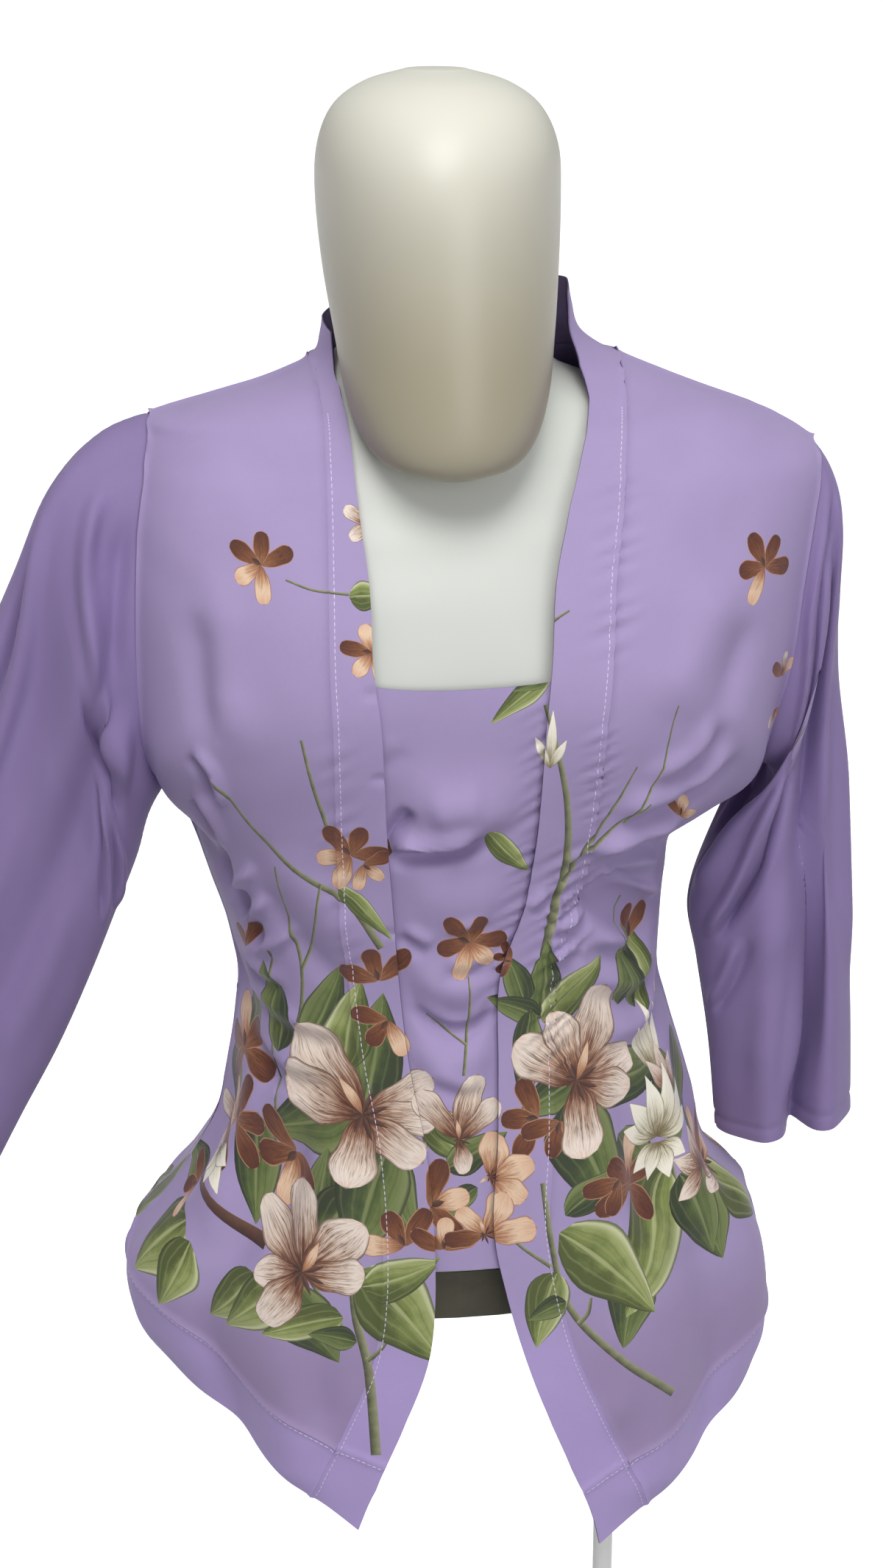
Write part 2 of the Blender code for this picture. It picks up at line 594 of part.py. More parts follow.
def make_centre(material):
    """The centre panel, sewn under the left band and snapped under the right one."""
    lines = []
    for side, index in (("r", 1), ("l", 3)):
        line = []
        for height in np.linspace(CENTRE_BOTTOM, CENTRE_TOP, CENTRE_ROWS + 1):
            level = float(level_of(height))
            x = float(height_curve(index, height)) + SIDE[side] * CENTRE_UNDERLAP
            line.append((angle_at(x, level), level))
        lines.append(line)
    grid = ruled(lines[0], lines[1], CENTRE_COLUMNS)
    share = shares_of(CENTRE_COLUMNS)
    top_pull = shares_of(CENTRE_ROWS)[:, None] ** TOP_SAG_POWER
    sag = CENTRE_SAG * 4 * share * (1 - share)
    sagged = level_of(CENTRE_TOP) - level_of(CENTRE_TOP - sag)
    grid[..., 1] -= top_pull * sagged[None]
    angle, level = grid[..., 0], grid[..., 1]
    outer = inset_edges(centre_face(angle, level))
    normal = normals_of(centre_face, angle, level)
    sheet_wall("centre_panel", outer, outer - normal * CLOTH, material)


def make_snaps(material):
    """Press studs between the right band and the centre panel."""
    for number, height in enumerate(SNAP_HEIGHTS, 1):
        level = float(level_of(height))
        angle = angle_at(float(height_curve(1, height)) - SNAP_SET_BACK, level)
        normal = normals_of(body_point, np.array(angle), np.array(level))
        depth = (BAND_CLOTH + CENTRE_DROP) / 2
        middle = body_point(angle, level) - normal * depth
        side = np.cross(normal, (0.0, 0.0, 1.0))
        side /= np.linalg.norm(side)
        up = np.cross(side, normal)
        turns = np.linspace(0, 2 * math.pi, SNAP_SIDES, endpoint=False)
        ring = SNAP_RADIUS * (np.cos(turns)[:, None] * side + np.sin(turns)[:, None] * up)
        near = middle + normal * SNAP_THICK / 2 + ring
        far = middle - normal * SNAP_THICK / 2 + ring
        count = len(turns)
        faces = [list(range(count)), list(range(2 * count - 1, count - 1, -1))]
        for here in range(count):
            there = (here + 1) % count
            faces.append([here, here + count, there + count, there])
        mesh_object(f"snap_{number}", np.concatenate([near, far]), faces, material)


def sleeve_grid(side, rows=SLEEVE_ROWS):
    """The sleeve's outer face: rows along it, points round it from the shoulder tip forwards."""
    front = evenly(armhole(side, "front"), shares_of(ARM_ROWS))[::-1]
    back = evenly(armhole(side, "back"), shares_of(ARM_ROWS))[1:-1]
    loop = np.concatenate([front, back])
    loop_points = body_point(loop[:, 0], loop[:, 1])
    count = len(loop)
    turn = np.linspace(0, 2 * math.pi, count, endpoint=False)
    table = SLEEVE_RINGS[side]
    shares = column(table, 0)
    # The first section is the armhole itself.
    top, low = loop_points[0], loop_points[count // 2]
    half = (top - low) / 2
    middle = (top + low) / 2
    reach = loop_points - middle
    along_half = reach @ half / (half @ half)
    toward_front = -reach[:, 1] + along_half * half[1]
    plane = np.cross(half, (0.0, 1.0, 0.0))
    plane /= np.linalg.norm(plane)
    off_plane = reach @ plane
    grid = []
    for share in np.linspace(0, 1, rows + 1):
        at = np.interp(share, shares, range(len(shares)))
        outer_x, outer_z, inner_x, inner_z, mid_y, front_depth, back_depth = (
            float(curve(column(table, index), at)) for index in range(1, 8)
        )
        start = smoothstep(1 - share / SLEEVE_TOP_FADE)
        lead = np.array([outer_x, mid_y, outer_z])
        trail = np.array([inner_x, mid_y, inner_z])
        first = SLEEVE_RINGS[side][0]
        lead = lead + start * (top - np.array([first[1], first[5], first[2]]))
        trail = trail + start * (low - np.array([first[3], first[5], first[4]]))
        half_now = (lead - trail) / 2
        middle_now = (lead + trail) / 2
        plane_now = np.cross(half_now, (0.0, 1.0, 0.0))
        plane_now /= np.linalg.norm(plane_now)
        fade = smoothstep(share / SLEEVE_LOOP_FADE)
        depth = np.where(np.sin(turn) > 0, front_depth, back_depth)
        across = (1 - fade) * along_half + fade * np.cos(turn)
        forward = (1 - fade) * toward_front + fade * np.sin(turn) * depth
        for _, face, across_top, across_cuff, half_width, depth_top, depth_cuff in SLEEVE_FOLDS[side]:
            centre = across_top + (across_cuff - across_top) * share
            rise = depth_top + (depth_cuff - depth_top) * share
            rise *= smoothstep(share / SLEEVE_FOLD_START)
            sign = 1.0 if face == "front" else -1.0
            on_face = smoothstep(sign * np.sin(turn) / SLEEVE_FOLD_EDGE)
            bump = rise * np.exp(-(((across - centre) / half_width) ** 2)) * on_face
            forward = forward + sign * bump
        ring = middle_now + across[:, None] * half_now + (1 - fade) * off_plane[:, None] * plane_now
        ring = ring + forward[:, None] * np.array([0.0, -1.0, 0.0])
        grid.append(ring)
    return np.array(grid)


def tube_normals(grid):
    along = np.gradient(grid, axis=0)
    around = np.roll(grid, -1, axis=1) - np.roll(grid, 1, axis=1)
    normal = np.cross(around, along)
    normal /= np.linalg.norm(normal, axis=-1, keepdims=True)
    centre = grid.mean(axis=1, keepdims=True)
    if ((grid - centre) * normal).sum() < 0:
        normal = -normal
    return normal


def make_sleeve(side, material):
    outer = sleeve_grid(side)
    normal = tube_normals(outer)
    first = outer[1] - outer[0]
    outer[0] += first * SLEEVE_INSET / np.linalg.norm(first, axis=-1, keepdims=True)
    inner = outer - normal * CLOTH
    rows, count = outer.shape[:2]
    size = rows * count
    faces = []
    for row in range(rows - 1):
        for col in range(count):
            there = (col + 1) % count
            quad = [row * count + col, row * count + there]
            quad += [(row + 1) * count + there, (row + 1) * count + col]
            faces.append(quad)
            faces.append([size + corner for corner in reversed(quad)])
    for row in (0, rows - 1):
        for col in range(count):
            here, there = row * count + col, row * count + (col + 1) % count
            faces.append([here, there, size + there, size + here])
    points = np.concatenate([outer.reshape(-1, 3), inner.reshape(-1, 3)])
    mesh_object(f"sleeve_{side}", points, faces, material)


# ---------------------------------------------------------------- the form and its stand
def loft(name, rings, material):
    """A closed solid through rings of points, with a flat cap at each end."""
    count = len(rings[0])
    faces = [list(range(count)), [len(rings) * count - 1 - col for col in range(count)]]
    for row in range(len(rings) - 1):
        for col in range(count):
            there = (col + 1) % count
            low, high = row * count, (row + 1) * count
            faces.append([low + col, low + there, high + there, high + col])
    return mesh_object(name, np.concatenate(rings), faces, material)


def form_ring(height, grow=0.0):
    """A section of the form's trunk or neck."""
    heights = column(FORM_RINGS, 0)
    at = np.interp(height, heights, range(len(heights)))
    half, front, side, back, square = (float(curve(column(FORM_RINGS, i), at)) for i in range(1, 6))
    angle = np.arange(FORM_AROUND) * 360.0 / FORM_AROUND
    x, y = ring_point(angle, half + grow, front - grow, side, back + grow, square)
    y = y - bust(x, y, height, BUST_SWELL["form"])
    return np.stack([x, y, np.full(FORM_AROUND, height)], -1)


def make_form(material):
    heights = list(np.linspace(CAP_HEIGHT + FORM_RINGS[0][0], FORM_SHOULDER, FORM_TRUNK_ROWS))
    heights += [height for height in column(FORM_RINGS, 0) if height > FORM_SHOULDER]
    form = loft("form", [form_ring(height) for height in heights], material)
    turn = np.linspace(0, 2 * math.pi, HEAD_AROUND, endpoint=False)
    rings = []
    for height, middle_x, half_width, middle_y, half_depth in HEAD_RINGS:
        x, y = middle_x + half_width * np.sin(turn), middle_y - half_depth * np.cos(turn)
        rings.append(np.stack([x, y, np.full(HEAD_AROUND, height)], -1))
    head = loft("head_blank", rings, material)
    head.hide_render = True
    head.hide_set(True)
    union = form.modifiers.new("head", "BOOLEAN")
    union.operation = "UNION"
    union.object = head


def make_stand(dark, white):
    bottom = FORM_RINGS[0][0]
    top = bottom + CAP_HEIGHT - FACE_GAP
    heights = np.linspace(bottom, top, 4)
    loft("form_base_cap", [form_ring(height, CAP_GROW) for height in heights], dark)
    low = BASE_HEIGHT + FACE_GAP
    high = bottom - FACE_GAP
    bpy.ops.mesh.primitive_cylinder_add(
        vertices=24,
        radius=POLE_RADIUS,
        depth=high - low,
        location=(*POLE_PLACE, (low + high) / 2),
    )
    name_object("pole", white)
    bpy.ops.mesh.primitive_cylinder_add(
        vertices=48, radius=BASE_RADIUS, depth=BASE_HEIGHT, location=(0, 0, BASE_HEIGHT / 2)
    )
    plate = name_object("base_plate", white)
    bevel = plate.modifiers.new("rim", "BEVEL")
    bevel.width = BASE_BEVEL
    bevel.segments = 2
    bevel.limit_method = "ANGLE"


def name_object(name, material):
    obj = bpy.context.active_object
    obj.name = name
    obj.data.name = name
    obj.data.materials.append(material)
    return obj


# ---------------------------------------------------------------- scene
def make_material(name, colour, roughness, metallic=0.0):
    material = bpy.data.materials.new(name)
    material.use_nodes = True
    shader = material.node_tree.nodes["Principled BSDF"]
    shader.inputs["Base Color"].default_value = (*colour, 1.0)
    shader.inputs["Roughness"].default_value = roughness
    shader.inputs["Metallic"].default_value = metallic
    return material


def main():
    for obj in list(bpy.data.objects):
        bpy.data.objects.remove(obj)
    lavender = make_material("lavender crepe", (0.31, 0.23, 0.46), 0.7)
    band = make_material("lavender band", (0.35, 0.26, 0.52), 0.7)
    ivory = make_material("ivory plastic", (0.78, 0.77, 0.68), 0.25)
    dark = make_material("dark base", (0.07, 0.07, 0.05), 0.5)
    white = make_material("white enamel", (0.8, 0.8, 0.78), 0.35)
    metal = make_material("snap metal", (0.5, 0.5, 0.5), 0.35, 1.0)
    for side in ("r", "l"):
        make_front(side, lavender)
        make_front_hem(side, band)
        make_band(side, band)
        make_sleeve(side, lavender)
    make_back(lavender)
    panel("hem_back", back_grid(SIDE_HEM, SIDE_SEAM, HEM_ROWS), CLOTH, band)
    make_centre(lavender)
    make_snaps(metal)
    make_form(ivory)
    make_stand(dark, white)


main()
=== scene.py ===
"""A kebaya blouse on its dress form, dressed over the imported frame.

Metres, +Z up, front towards -Y. "r" is the wearer's right, -X, and "l" the wearer's left, +X.
Every cloth piece lies on a surface that part.py's tables give. The trunk's is body_point(angle,
level): angle 0 is the centre front and 180 the centre back, in degrees, and level counts the rows
of BODY_RINGS. A piece is cut in flat cloth coordinates, girth and rise, both in metres, where the
printed motifs are drawn, and is then laid on its surface, with its creases pressed in.
"""

import math
from collections import namedtuple

import bmesh
import bpy
import numpy as np
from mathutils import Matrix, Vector
from mathutils.geometry import delaunay_2d_cdt


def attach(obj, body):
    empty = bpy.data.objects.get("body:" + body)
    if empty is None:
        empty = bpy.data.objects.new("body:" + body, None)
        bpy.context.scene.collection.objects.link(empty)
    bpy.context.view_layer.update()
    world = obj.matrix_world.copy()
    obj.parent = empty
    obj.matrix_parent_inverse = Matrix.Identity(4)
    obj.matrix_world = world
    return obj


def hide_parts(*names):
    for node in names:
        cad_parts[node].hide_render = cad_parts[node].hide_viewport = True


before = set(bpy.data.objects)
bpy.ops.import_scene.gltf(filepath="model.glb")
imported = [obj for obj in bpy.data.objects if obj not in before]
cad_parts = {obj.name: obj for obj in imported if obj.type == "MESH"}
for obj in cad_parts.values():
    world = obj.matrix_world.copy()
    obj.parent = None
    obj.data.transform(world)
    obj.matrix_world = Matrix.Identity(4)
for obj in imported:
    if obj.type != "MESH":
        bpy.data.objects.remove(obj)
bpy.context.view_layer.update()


# ---------------------------------------------------------------- cloth sizes
BAND_CLOTH = 0.0018  # wall of the folded bands in the CAD
CENTRE_DROP = 0.0050  # the centre panel lies this far under the fronts
CENTRE_UNDERLAP = 0.014  # and runs this far behind each band
CENTRE_TOP = 0.822
CENTRE_SAG = 0.007  # of its top edge's middle
CENTRE_BOTTOM = 0.448
CENTRE_EASE = 0.35  # share of the panel's width over which its puffs fade to the bands
PUFF_SAG = 0.010  # the middle of each puff hangs this much lower

SIDE = {"r": -1.0, "l": 1.0}
TAIL_TIP = {"r": 0.270, "l": 0.247}  # heights of the two pointed tails
TAIL_HEM = {"r": 0.293, "l": 0.270}  # the hem's edge where it meets the band
TAIL_SEAM = {"r": 0.330, "l": 0.307}  # the hem strip's seam at the band
SIDE_HEM = {"r": 0.390, "l": 0.346}
SIDE_SEAM = {"r": 0.429, "l": 0.387}
UNDERARM = {"r": 0.731, "l": 0.735}
SHOULDER_TIP = {"r": 0.954, "l": 0.932}
NECK_SEAM = 0.986
COLLAR_TOP = {"r": 1.009, "l": 1.030}
COLLAR_BACK_TOP = 1.025
COLLAR_RISE = 5.0  # levels over which the band's free edge climbs to the collar's top
TIP_FALL = 2.0  # levels over which the band's free edge drops to the tail's tip
ARMHOLE_SCOOP = {"front": 19.0, "back": 17.0}  # degrees cut in from the side
SCOOP_POWER = 0.8  # how square the armhole's curve is

# Sections of the blouse's outer face: half widths, then y of centre front, side and centre back.
BODY_RINGS = (
    # height, r half, l half, front y, side y, back y, squareness
    (0.240, 0.160, 0.190, -0.136, -0.002, 0.112, 0.12),
    (0.290, 0.170, 0.202, -0.137, -0.002, 0.114, 0.12),
    (0.335, 0.184, 0.209, -0.137, -0.002, 0.116, 0.12),
    (0.376, 0.199, 0.212, -0.136, -0.002, 0.118, 0.12),
    (0.410, 0.206, 0.209, -0.134, -0.002, 0.119, 0.12),
    (0.431, 0.197, 0.203, -0.132, -0.001, 0.118, 0.12),
    (0.449, 0.179, 0.196, -0.130, 0.000, 0.116, 0.12),
    (0.472, 0.162, 0.172, -0.127, 0.001, 0.112, 0.12),
    (0.505, 0.144, 0.164, -0.121, 0.002, 0.106, 0.12),
    (0.536, 0.137, 0.155, -0.115, 0.003, 0.099, 0.12),
    (0.570, 0.131, 0.145, -0.109, 0.004, 0.092, 0.10),
    (0.603, 0.129, 0.139, -0.105, 0.005, 0.088, 0.10),
    (0.635, 0.134, 0.139, -0.106, 0.004, 0.088, 0.10),
    (0.667, 0.144, 0.141, -0.110, 0.003, 0.090, 0.10),
    (0.696, 0.153, 0.146, -0.114, 0.002, 0.094, 0.10),
    (0.714, 0.162, 0.172, -0.117, 0.001, 0.097, 0.12),
    (0.732, 0.173, 0.192, -0.119, 0.001, 0.100, 0.14),
    (0.765, 0.188, 0.206, -0.121, 0.001, 0.104, 0.20),
    (0.805, 0.193, 0.219, -0.121, 0.002, 0.107, 0.22),
    (0.850, 0.194, 0.226, -0.113, 0.003, 0.108, 0.22),
    (0.890, 0.192, 0.233, -0.096, 0.006, 0.105, 0.20),
    (0.918, 0.187, 0.236, -0.080, 0.009, 0.099, 0.18),
    (0.932, 0.184, 0.229, -0.070, 0.012, 0.094, 0.15),
    (0.945, 0.179, 0.209, -0.062, 0.014, 0.088, 0.12),
    (0.954, 0.173, 0.189, -0.056, 0.016, 0.083, 0.10),
    (0.964, 0.138, 0.161, -0.050, 0.018, 0.078, 0.08),
    (0.974, 0.103, 0.135, -0.046, 0.019, 0.073, 0.05),
    (0.986, 0.077, 0.107, -0.044, 0.020, 0.069, 0.00),
    (1.000, 0.071, 0.086, -0.043, 0.020, 0.070, 0.00),
    (1.018, 0.069, 0.080, -0.043, 0.020, 0.073, 0.00),
    (1.036, 0.068, 0.077, -0.043, 0.020, 0.076, 0.00),
)

# The lines of the bands along the front opening: x of the free edge and of the seam, by height.
FRONT_EDGES = (
    # height, r free, r seam, l free, l seam
    (0.240, -0.075, -0.112, 0.090, 0.128),
    (0.270, -0.066, -0.102, 0.083, 0.119),
    (0.300, -0.055, -0.091, 0.071, 0.107),
    (0.350, -0.036, -0.071, 0.052, 0.086),
    (0.390, -0.022, -0.056, 0.038, 0.070),
    (0.430, -0.0175, -0.050, 0.027, 0.060),
    (0.475, -0.0175, -0.049, 0.019, 0.054),
    (0.525, -0.0215, -0.052, 0.0225, 0.057),
    (0.575, -0.0305, -0.060, 0.0235, 0.058),
    (0.632, -0.0365, -0.066, 0.0245, 0.060),
    (0.676, -0.040, -0.070, 0.0385, 0.073),
    (0.725, -0.044, -0.073, 0.0445, 0.079),
    (0.794, -0.0475, -0.075, 0.0475, 0.083),
    (0.830, -0.0515, -0.076, 0.0515, 0.087),
    (0.873, -0.052, -0.075, 0.0555, 0.091),
    (0.912, -0.056, -0.074, 0.066, 0.098),
    (0.940, -0.058, -0.0735, 0.076, 0.102),
    (0.960, -0.060, -0.0735, 0.082, 0.105),
    (0.976, -0.063, -0.0745, 0.083, 0.106),
    (0.992, -0.066, -0.0750, 0.076, 0.107),
)

EDGE = {"r": 1, "l": 3}  # columns of FRONT_EDGES: the bands' free edges
SEAM = {"r": 2, "l": 4}  # and their seams

# Folds of the trunk's cloth: soft ridges (rise above 0) and valleys along a straight line.
BODY_FOLDS = (
    # name, start angle, start height, end angle, end height, half width, rise
    ("peplum flute r", -76, 0.38, -70, 0.47, 0.022, 0.006),
    ("peplum valley r", -52, 0.33, -50, 0.50, 0.020, -0.008),
    ("peplum roll r", -36, 0.31, -30, 0.50, 0.020, 0.006),
    ("peplum flute l", 74, 0.35, 68, 0.47, 0.022, 0.006),
    ("peplum valley l", 55, 0.31, 50, 0.50, 0.020, -0.008),
    ("peplum roll l", 38, 0.29, 32, 0.50, 0.020, 0.006),
    ("waist tuck r", -60, 0.56, -84, 0.60, 0.014, -0.005),
    ("waist tuck l", 58, 0.56, 84, 0.59, 0.014, -0.005),
    ("side drag r", -62, 0.66, -86, 0.72, 0.015, -0.005),
    ("under bust roll l", 36, 0.70, 62, 0.665, 0.013, 0.005),
    ("under bust tuck l", 34, 0.675, 60, 0.640, 0.011, -0.005),
    ("bust drape l", 45, 0.79, 74, 0.735, 0.020, 0.006),
    ("bust drape r", -45, 0.79, -74, 0.735, 0.020, 0.005),
    ("back valley r", 226, 0.50, 214, 0.64, 0.016, -0.006),
    ("back roll r", 204, 0.40, 200, 0.62, 0.018, 0.005),
    ("back valley l", 134, 0.50, 146, 0.64, 0.016, -0.006),
    ("back roll l", 156, 0.40, 160, 0.62, 0.018, 0.005),
    ("back flute r", 238, 0.36, 236, 0.46, 0.024, 0.009),
    ("back flute l", 122, 0.36, 124, 0.46, 0.024, 0.009),
    ("yoke drag r", 230, 0.88, 250, 0.80, 0.022, -0.005),
    ("yoke drag l", 130, 0.88, 110, 0.80, 0.022, -0.005),
)

# The bust, as two low round swellings of both cloth and form.
BUST_X = 0.076
BUST_HEIGHT = 0.796
BUST_RADIUS = 0.052
BUST_SWELL = {"cloth": 0.009, "form": 0.013}

SIDE_BLEND = 0.2  # sine of the angle over which the two half widths blend at the centre
FOLD_RADIUS = 0.15  # the radius at which a fold's angles are read as lengths
NORMAL_LEVELS = 0.01  # steps of the surface's differences
NORMAL_DEGREES = 0.2
LINE_POINTS = 80  # of each seam's line

# Puffs of the centre panel between the bands.
CENTRE_FOLDS = (
    # name, height at r side, height at l side, half width, rise
    ("bust puff", 0.755, 0.745, 0.022, 0.007),
    ("bust crease", 0.722, 0.734, 0.009, -0.004),
    ("rib puff", 0.690, 0.690, 0.020, 0.004),
    ("waist puff", 0.640, 0.628, 0.016, 0.006),
    ("waist crease", 0.617, 0.606, 0.009, -0.004),
    ("hip puff", 0.575, 0.580, 0.022, 0.004),
)

# Sleeves: the outer and the inner edge of the flattened tube, and how far it stands out.
SLEEVE_RINGS = {
    "r": (
        # share of length, outer x, outer z, inner x, inner z, middle y, front depth, back depth
        (0.00, -0.176, 0.954, -0.174, 0.731, 0.005, 0.050, 0.050),
        (0.06, -0.205, 0.942, -0.183, 0.712, 0.004, 0.047, 0.047),
        (0.14, -0.234, 0.912, -0.190, 0.684, 0.002, 0.042, 0.044),
        (0.26, -0.258, 0.860, -0.204, 0.648, 0.000, 0.034, 0.036),
        (0.42, -0.289, 0.793, -0.222, 0.604, 0.000, 0.029, 0.031),
        (0.60, -0.322, 0.716, -0.244, 0.556, 0.000, 0.027, 0.028),
        (0.80, -0.360, 0.628, -0.270, 0.508, 0.000, 0.026, 0.027),
        (1.00, -0.396, 0.543, -0.296, 0.458, 0.000, 0.026, 0.026),
    ),
    "l": (
        (0.00, 0.229, 0.932, 0.194, 0.735, 0.005, 0.050, 0.050),
        (0.05, 0.239, 0.916, 0.208, 0.726, 0.004, 0.047, 0.048),
        (0.10, 0.243, 0.894, 0.209, 0.708, 0.003, 0.043, 0.045),
        (0.18, 0.245, 0.850, 0.192, 0.686, 0.002, 0.039, 0.040),
        (0.28, 0.248, 0.795, 0.170, 0.668, 0.001, 0.036, 0.036),
        (0.42, 0.254, 0.725, 0.159, 0.636, 0.000, 0.034, 0.032),
        (0.60, 0.260, 0.650, 0.166, 0.596, 0.000, 0.033, 0.030),
        (0.80, 0.266, 0.565, 0.175, 0.540, -0.002, 0.033, 0.030),
        (1.00, 0.269, 0.492, 0.181, 0.480, -0.004, 0.034, 0.030),
    ),
}
SLEEVE_LOOP_FADE = 0.30  # share of the length over which the armhole's shape fades out
SLEEVE_TOP_FADE = 0.12  # and over which its own ends pull the sleeve's edges to them
SLEEVE_FOLD_START = 0.15  # and over which the folds grow
SLEEVE_FOLD_EDGE = 0.5  # sine of the turn over which a fold fades out at the sleeve's edges

# Lengthwise folds of the sleeves. Across runs from 1 at the outer edge to -1 at the inner edge.
SLEEVE_FOLDS = {
    "r": (
        # name, face, across at top, across at cuff, half width, depth at top, depth at cuff
        ("outer valley", "front", 0.42, 0.50, 0.20, -0.004, -0.008),
        ("middle roll", "front", 0.05, 0.10, 0.22, 0.005, 0.004),
        ("inner valley", "front", -0.35, -0.35, 0.20, -0.010, -0.006),
        ("back valley", "back", 0.10, 0.05, 0.30, -0.006, -0.008),
    ),
    "l": (
        ("outer groove", "front", 0.62, 0.08, 0.16, -0.012, -0.030),
        ("outer roll", "front", 0.86, 0.55, 0.20, 0.003, 0.006),
        ("inner roll", "front", 0.10, -0.45, 0.24, 0.002, 0.007),
        ("back valley", "back", 0.10, 0.05, 0.30, -0.006, -0.010),
    ),
}

# ---------------------------------------------------------------- form and stand sizes
FORM_RINGS = (
    # height, half width, front y, side y, back y, squareness
    (0.400, 0.150, -0.098, 0.000, 0.098, 0.15),
    (0.430, 0.154, -0.101, 0.000, 0.102, 0.15),
    (0.470, 0.152, -0.101, 0.001, 0.101, 0.15),
    (0.510, 0.138, -0.096, 0.002, 0.094, 0.12),
    (0.555, 0.123, -0.088, 0.003, 0.083, 0.10),
    (0.603, 0.117, -0.083, 0.004, 0.077, 0.10),
    (0.655, 0.124, -0.087, 0.003, 0.079, 0.10),
    (0.710, 0.137, -0.096, 0.002, 0.086, 0.12),
    (0.765, 0.147, -0.106, 0.002, 0.093, 0.14),
    (0.810, 0.152, -0.106, 0.002, 0.098, 0.16),
    (0.855, 0.156, -0.098, 0.004, 0.100, 0.16),
    (0.893, 0.161, -0.082, 0.007, 0.097, 0.15),
    (0.920, 0.165, -0.067, 0.010, 0.091, 0.12),
    (0.940, 0.165, -0.056, 0.014, 0.083, 0.10),
    (0.9515, 0.158, -0.049, 0.016, 0.072, 0.08),
    (0.9622, 0.1372, -0.043, 0.018, 0.066, 0.06),
    (0.9707, 0.1000, -0.039, 0.019, 0.064, 0.04),
    (0.981, 0.0710, -0.036, 0.020, 0.064, 0.00),
    (0.994, 0.0590, -0.034, 0.020, 0.061, 0.00),
    (1.020, 0.0540, -0.034, 0.020, 0.060, 0.00),
    (1.060, 0.0520, -0.032, 0.020, 0.058, 0.00),
)

HEAD_RINGS = (
    # height, middle x, half width, middle y, half depth
    (0.932, -0.002, 0.017, -0.080, 0.020),
    (0.938, -0.002, 0.038, -0.073, 0.039),
    (0.952, -0.002, 0.0510, -0.061, 0.057),
    (0.975, -0.002, 0.0590, -0.049, 0.070),
    (1.005, -0.002, 0.0635, -0.035, 0.081),
    (1.045, -0.003, 0.0685, -0.020, 0.091),
    (1.085, -0.0035, 0.0710, -0.010, 0.097),
    (1.112, -0.003, 0.0695, -0.005, 0.093),
    (1.133, -0.003, 0.0600, -0.001, 0.080),
    (1.146, -0.003, 0.0420, 0.001, 0.056),
    (1.153, -0.003, 0.0180, 0.003, 0.024),
)
CAP_HEIGHT = 0.034  # of the dark cap at the form's cut end

SNAP_RADIUS = 0.0035
SNAP_THICK = 0.0017
SNAP_SET_BACK = 0.008  # from the band's free edge
SNAP_HEIGHTS = (0.815, 0.764, 0.715, 0.662)


# ---------------------------------------------------------------- interpolation
MILLIMETRES = 1000.0  # to a metre
LEVEL_STEPS = 40  # between two rows of BODY_RINGS, where level_of looks levels up


def smoothstep(value):
    """0 below 0, 1 above 1 and a smooth climb between."""
    value = np.clip(value, 0.0, 1.0)
    return value * value * (3.0 - 2.0 * value)


def curve(values, at):
    """Catmull-Rom through values, which stand at 0, 1, 2 and so on."""
    values = np.asarray(values, float)
    padded = np.concatenate([[2 * values[0] - values[1]], values, [2 * values[-1] - values[-2]]])
    at = np.clip(np.asarray(at, float), 0.0, len(values) - 1.0)
    low = np.minimum(at.astype(int), len(values) - 2)
    share = at - low
    before, start, end, after = (padded[low + step] for step in range(4))
    return 0.5 * (
        2 * start
        + (end - before) * share
        + (2 * before - 5 * start + 4 * end - after) * share**2
        + (3 * start - before - 3 * end + after) * share**3
    )


def column(rows, index):
    """One column of a table."""
    return [row[index] for row in rows]


def metres(millimetres):
    """Lengths of a table that is written in millimetres."""
    return np.round(np.asarray(millimetres) / MILLIMETRES, 6)


def unit(vectors):
    """Vectors at length 1."""
    return vectors / np.linalg.norm(vectors, axis=-1, keepdims=True)


def round_turns(count):
    """Angles of points spaced evenly round a circle."""
    return np.linspace(0, 2 * math.pi, count, endpoint=False)


def run_of(path):
    """How far along a line each of its points lies."""
    return np.concatenate([[0.0], np.cumsum(np.linalg.norm(np.diff(path, axis=0), axis=1))])


def at_runs(line, run, wanted):
    """Points of a line of two columns where its run has the wanted values."""
    return np.stack([np.interp(wanted, run, line[:, axis]) for axis in (0, 1)], -1)


def level_of(height):
    """The level at which the blouse's surface reaches this height."""
    levels = np.linspace(0, len(BODY_RINGS) - 1, LEVEL_STEPS * len(BODY_RINGS))
    return np.interp(height, curve(column(BODY_RINGS, 0), levels), levels)


def height_curve(index, height):
    """A column of FRONT_EDGES at this height."""
    heights = column(FRONT_EDGES, 0)
    return curve(column(FRONT_EDGES, index), np.interp(height, heights, range(len(heights))))


# ---------------------------------------------------------------- the trunk's surface
def ring_point(angle, half_width, front, side, back, square):
    """A point of one section, at an angle in degrees."""
    turn = np.radians(angle)
    sine, cosine = np.sin(turn), np.cos(turn)
    depth = np.where(cosine > 0, front - side, side - back)
    reach = 1.0 + square * sine**2
    return half_width * sine, side + depth * cosine * reach


def bust(x, y, height, swell):
    """How far the bust stands out at a point of the front."""
    rise = 0.0
    for centre in (-BUST_X, BUST_X):
        rise = rise + np.exp(-((x - centre) ** 2 + (height - BUST_HEIGHT) ** 2) / BUST_RADIUS**2)
    return swell * rise * (y < 0)


def body_base(angle, level):
    """The blouse's outer face with no folds."""
    angle, level = np.broadcast_arrays(np.asarray(angle, float), np.asarray(level, float))
    height, right, left, front, side, back, square = (
        curve(column(BODY_RINGS, index), level) for index in range(7)
    )
    blend = 0.5 + 0.5 * np.clip(np.sin(np.radians(angle)) / SIDE_BLEND, -1, 1)
    half_width = right + (left - right) * smoothstep(blend)
    x, y = ring_point(angle, half_width, front, side, back, square)
    return np.stack([x, y - bust(x, y, height, BUST_SWELL["cloth"]), height], -1)


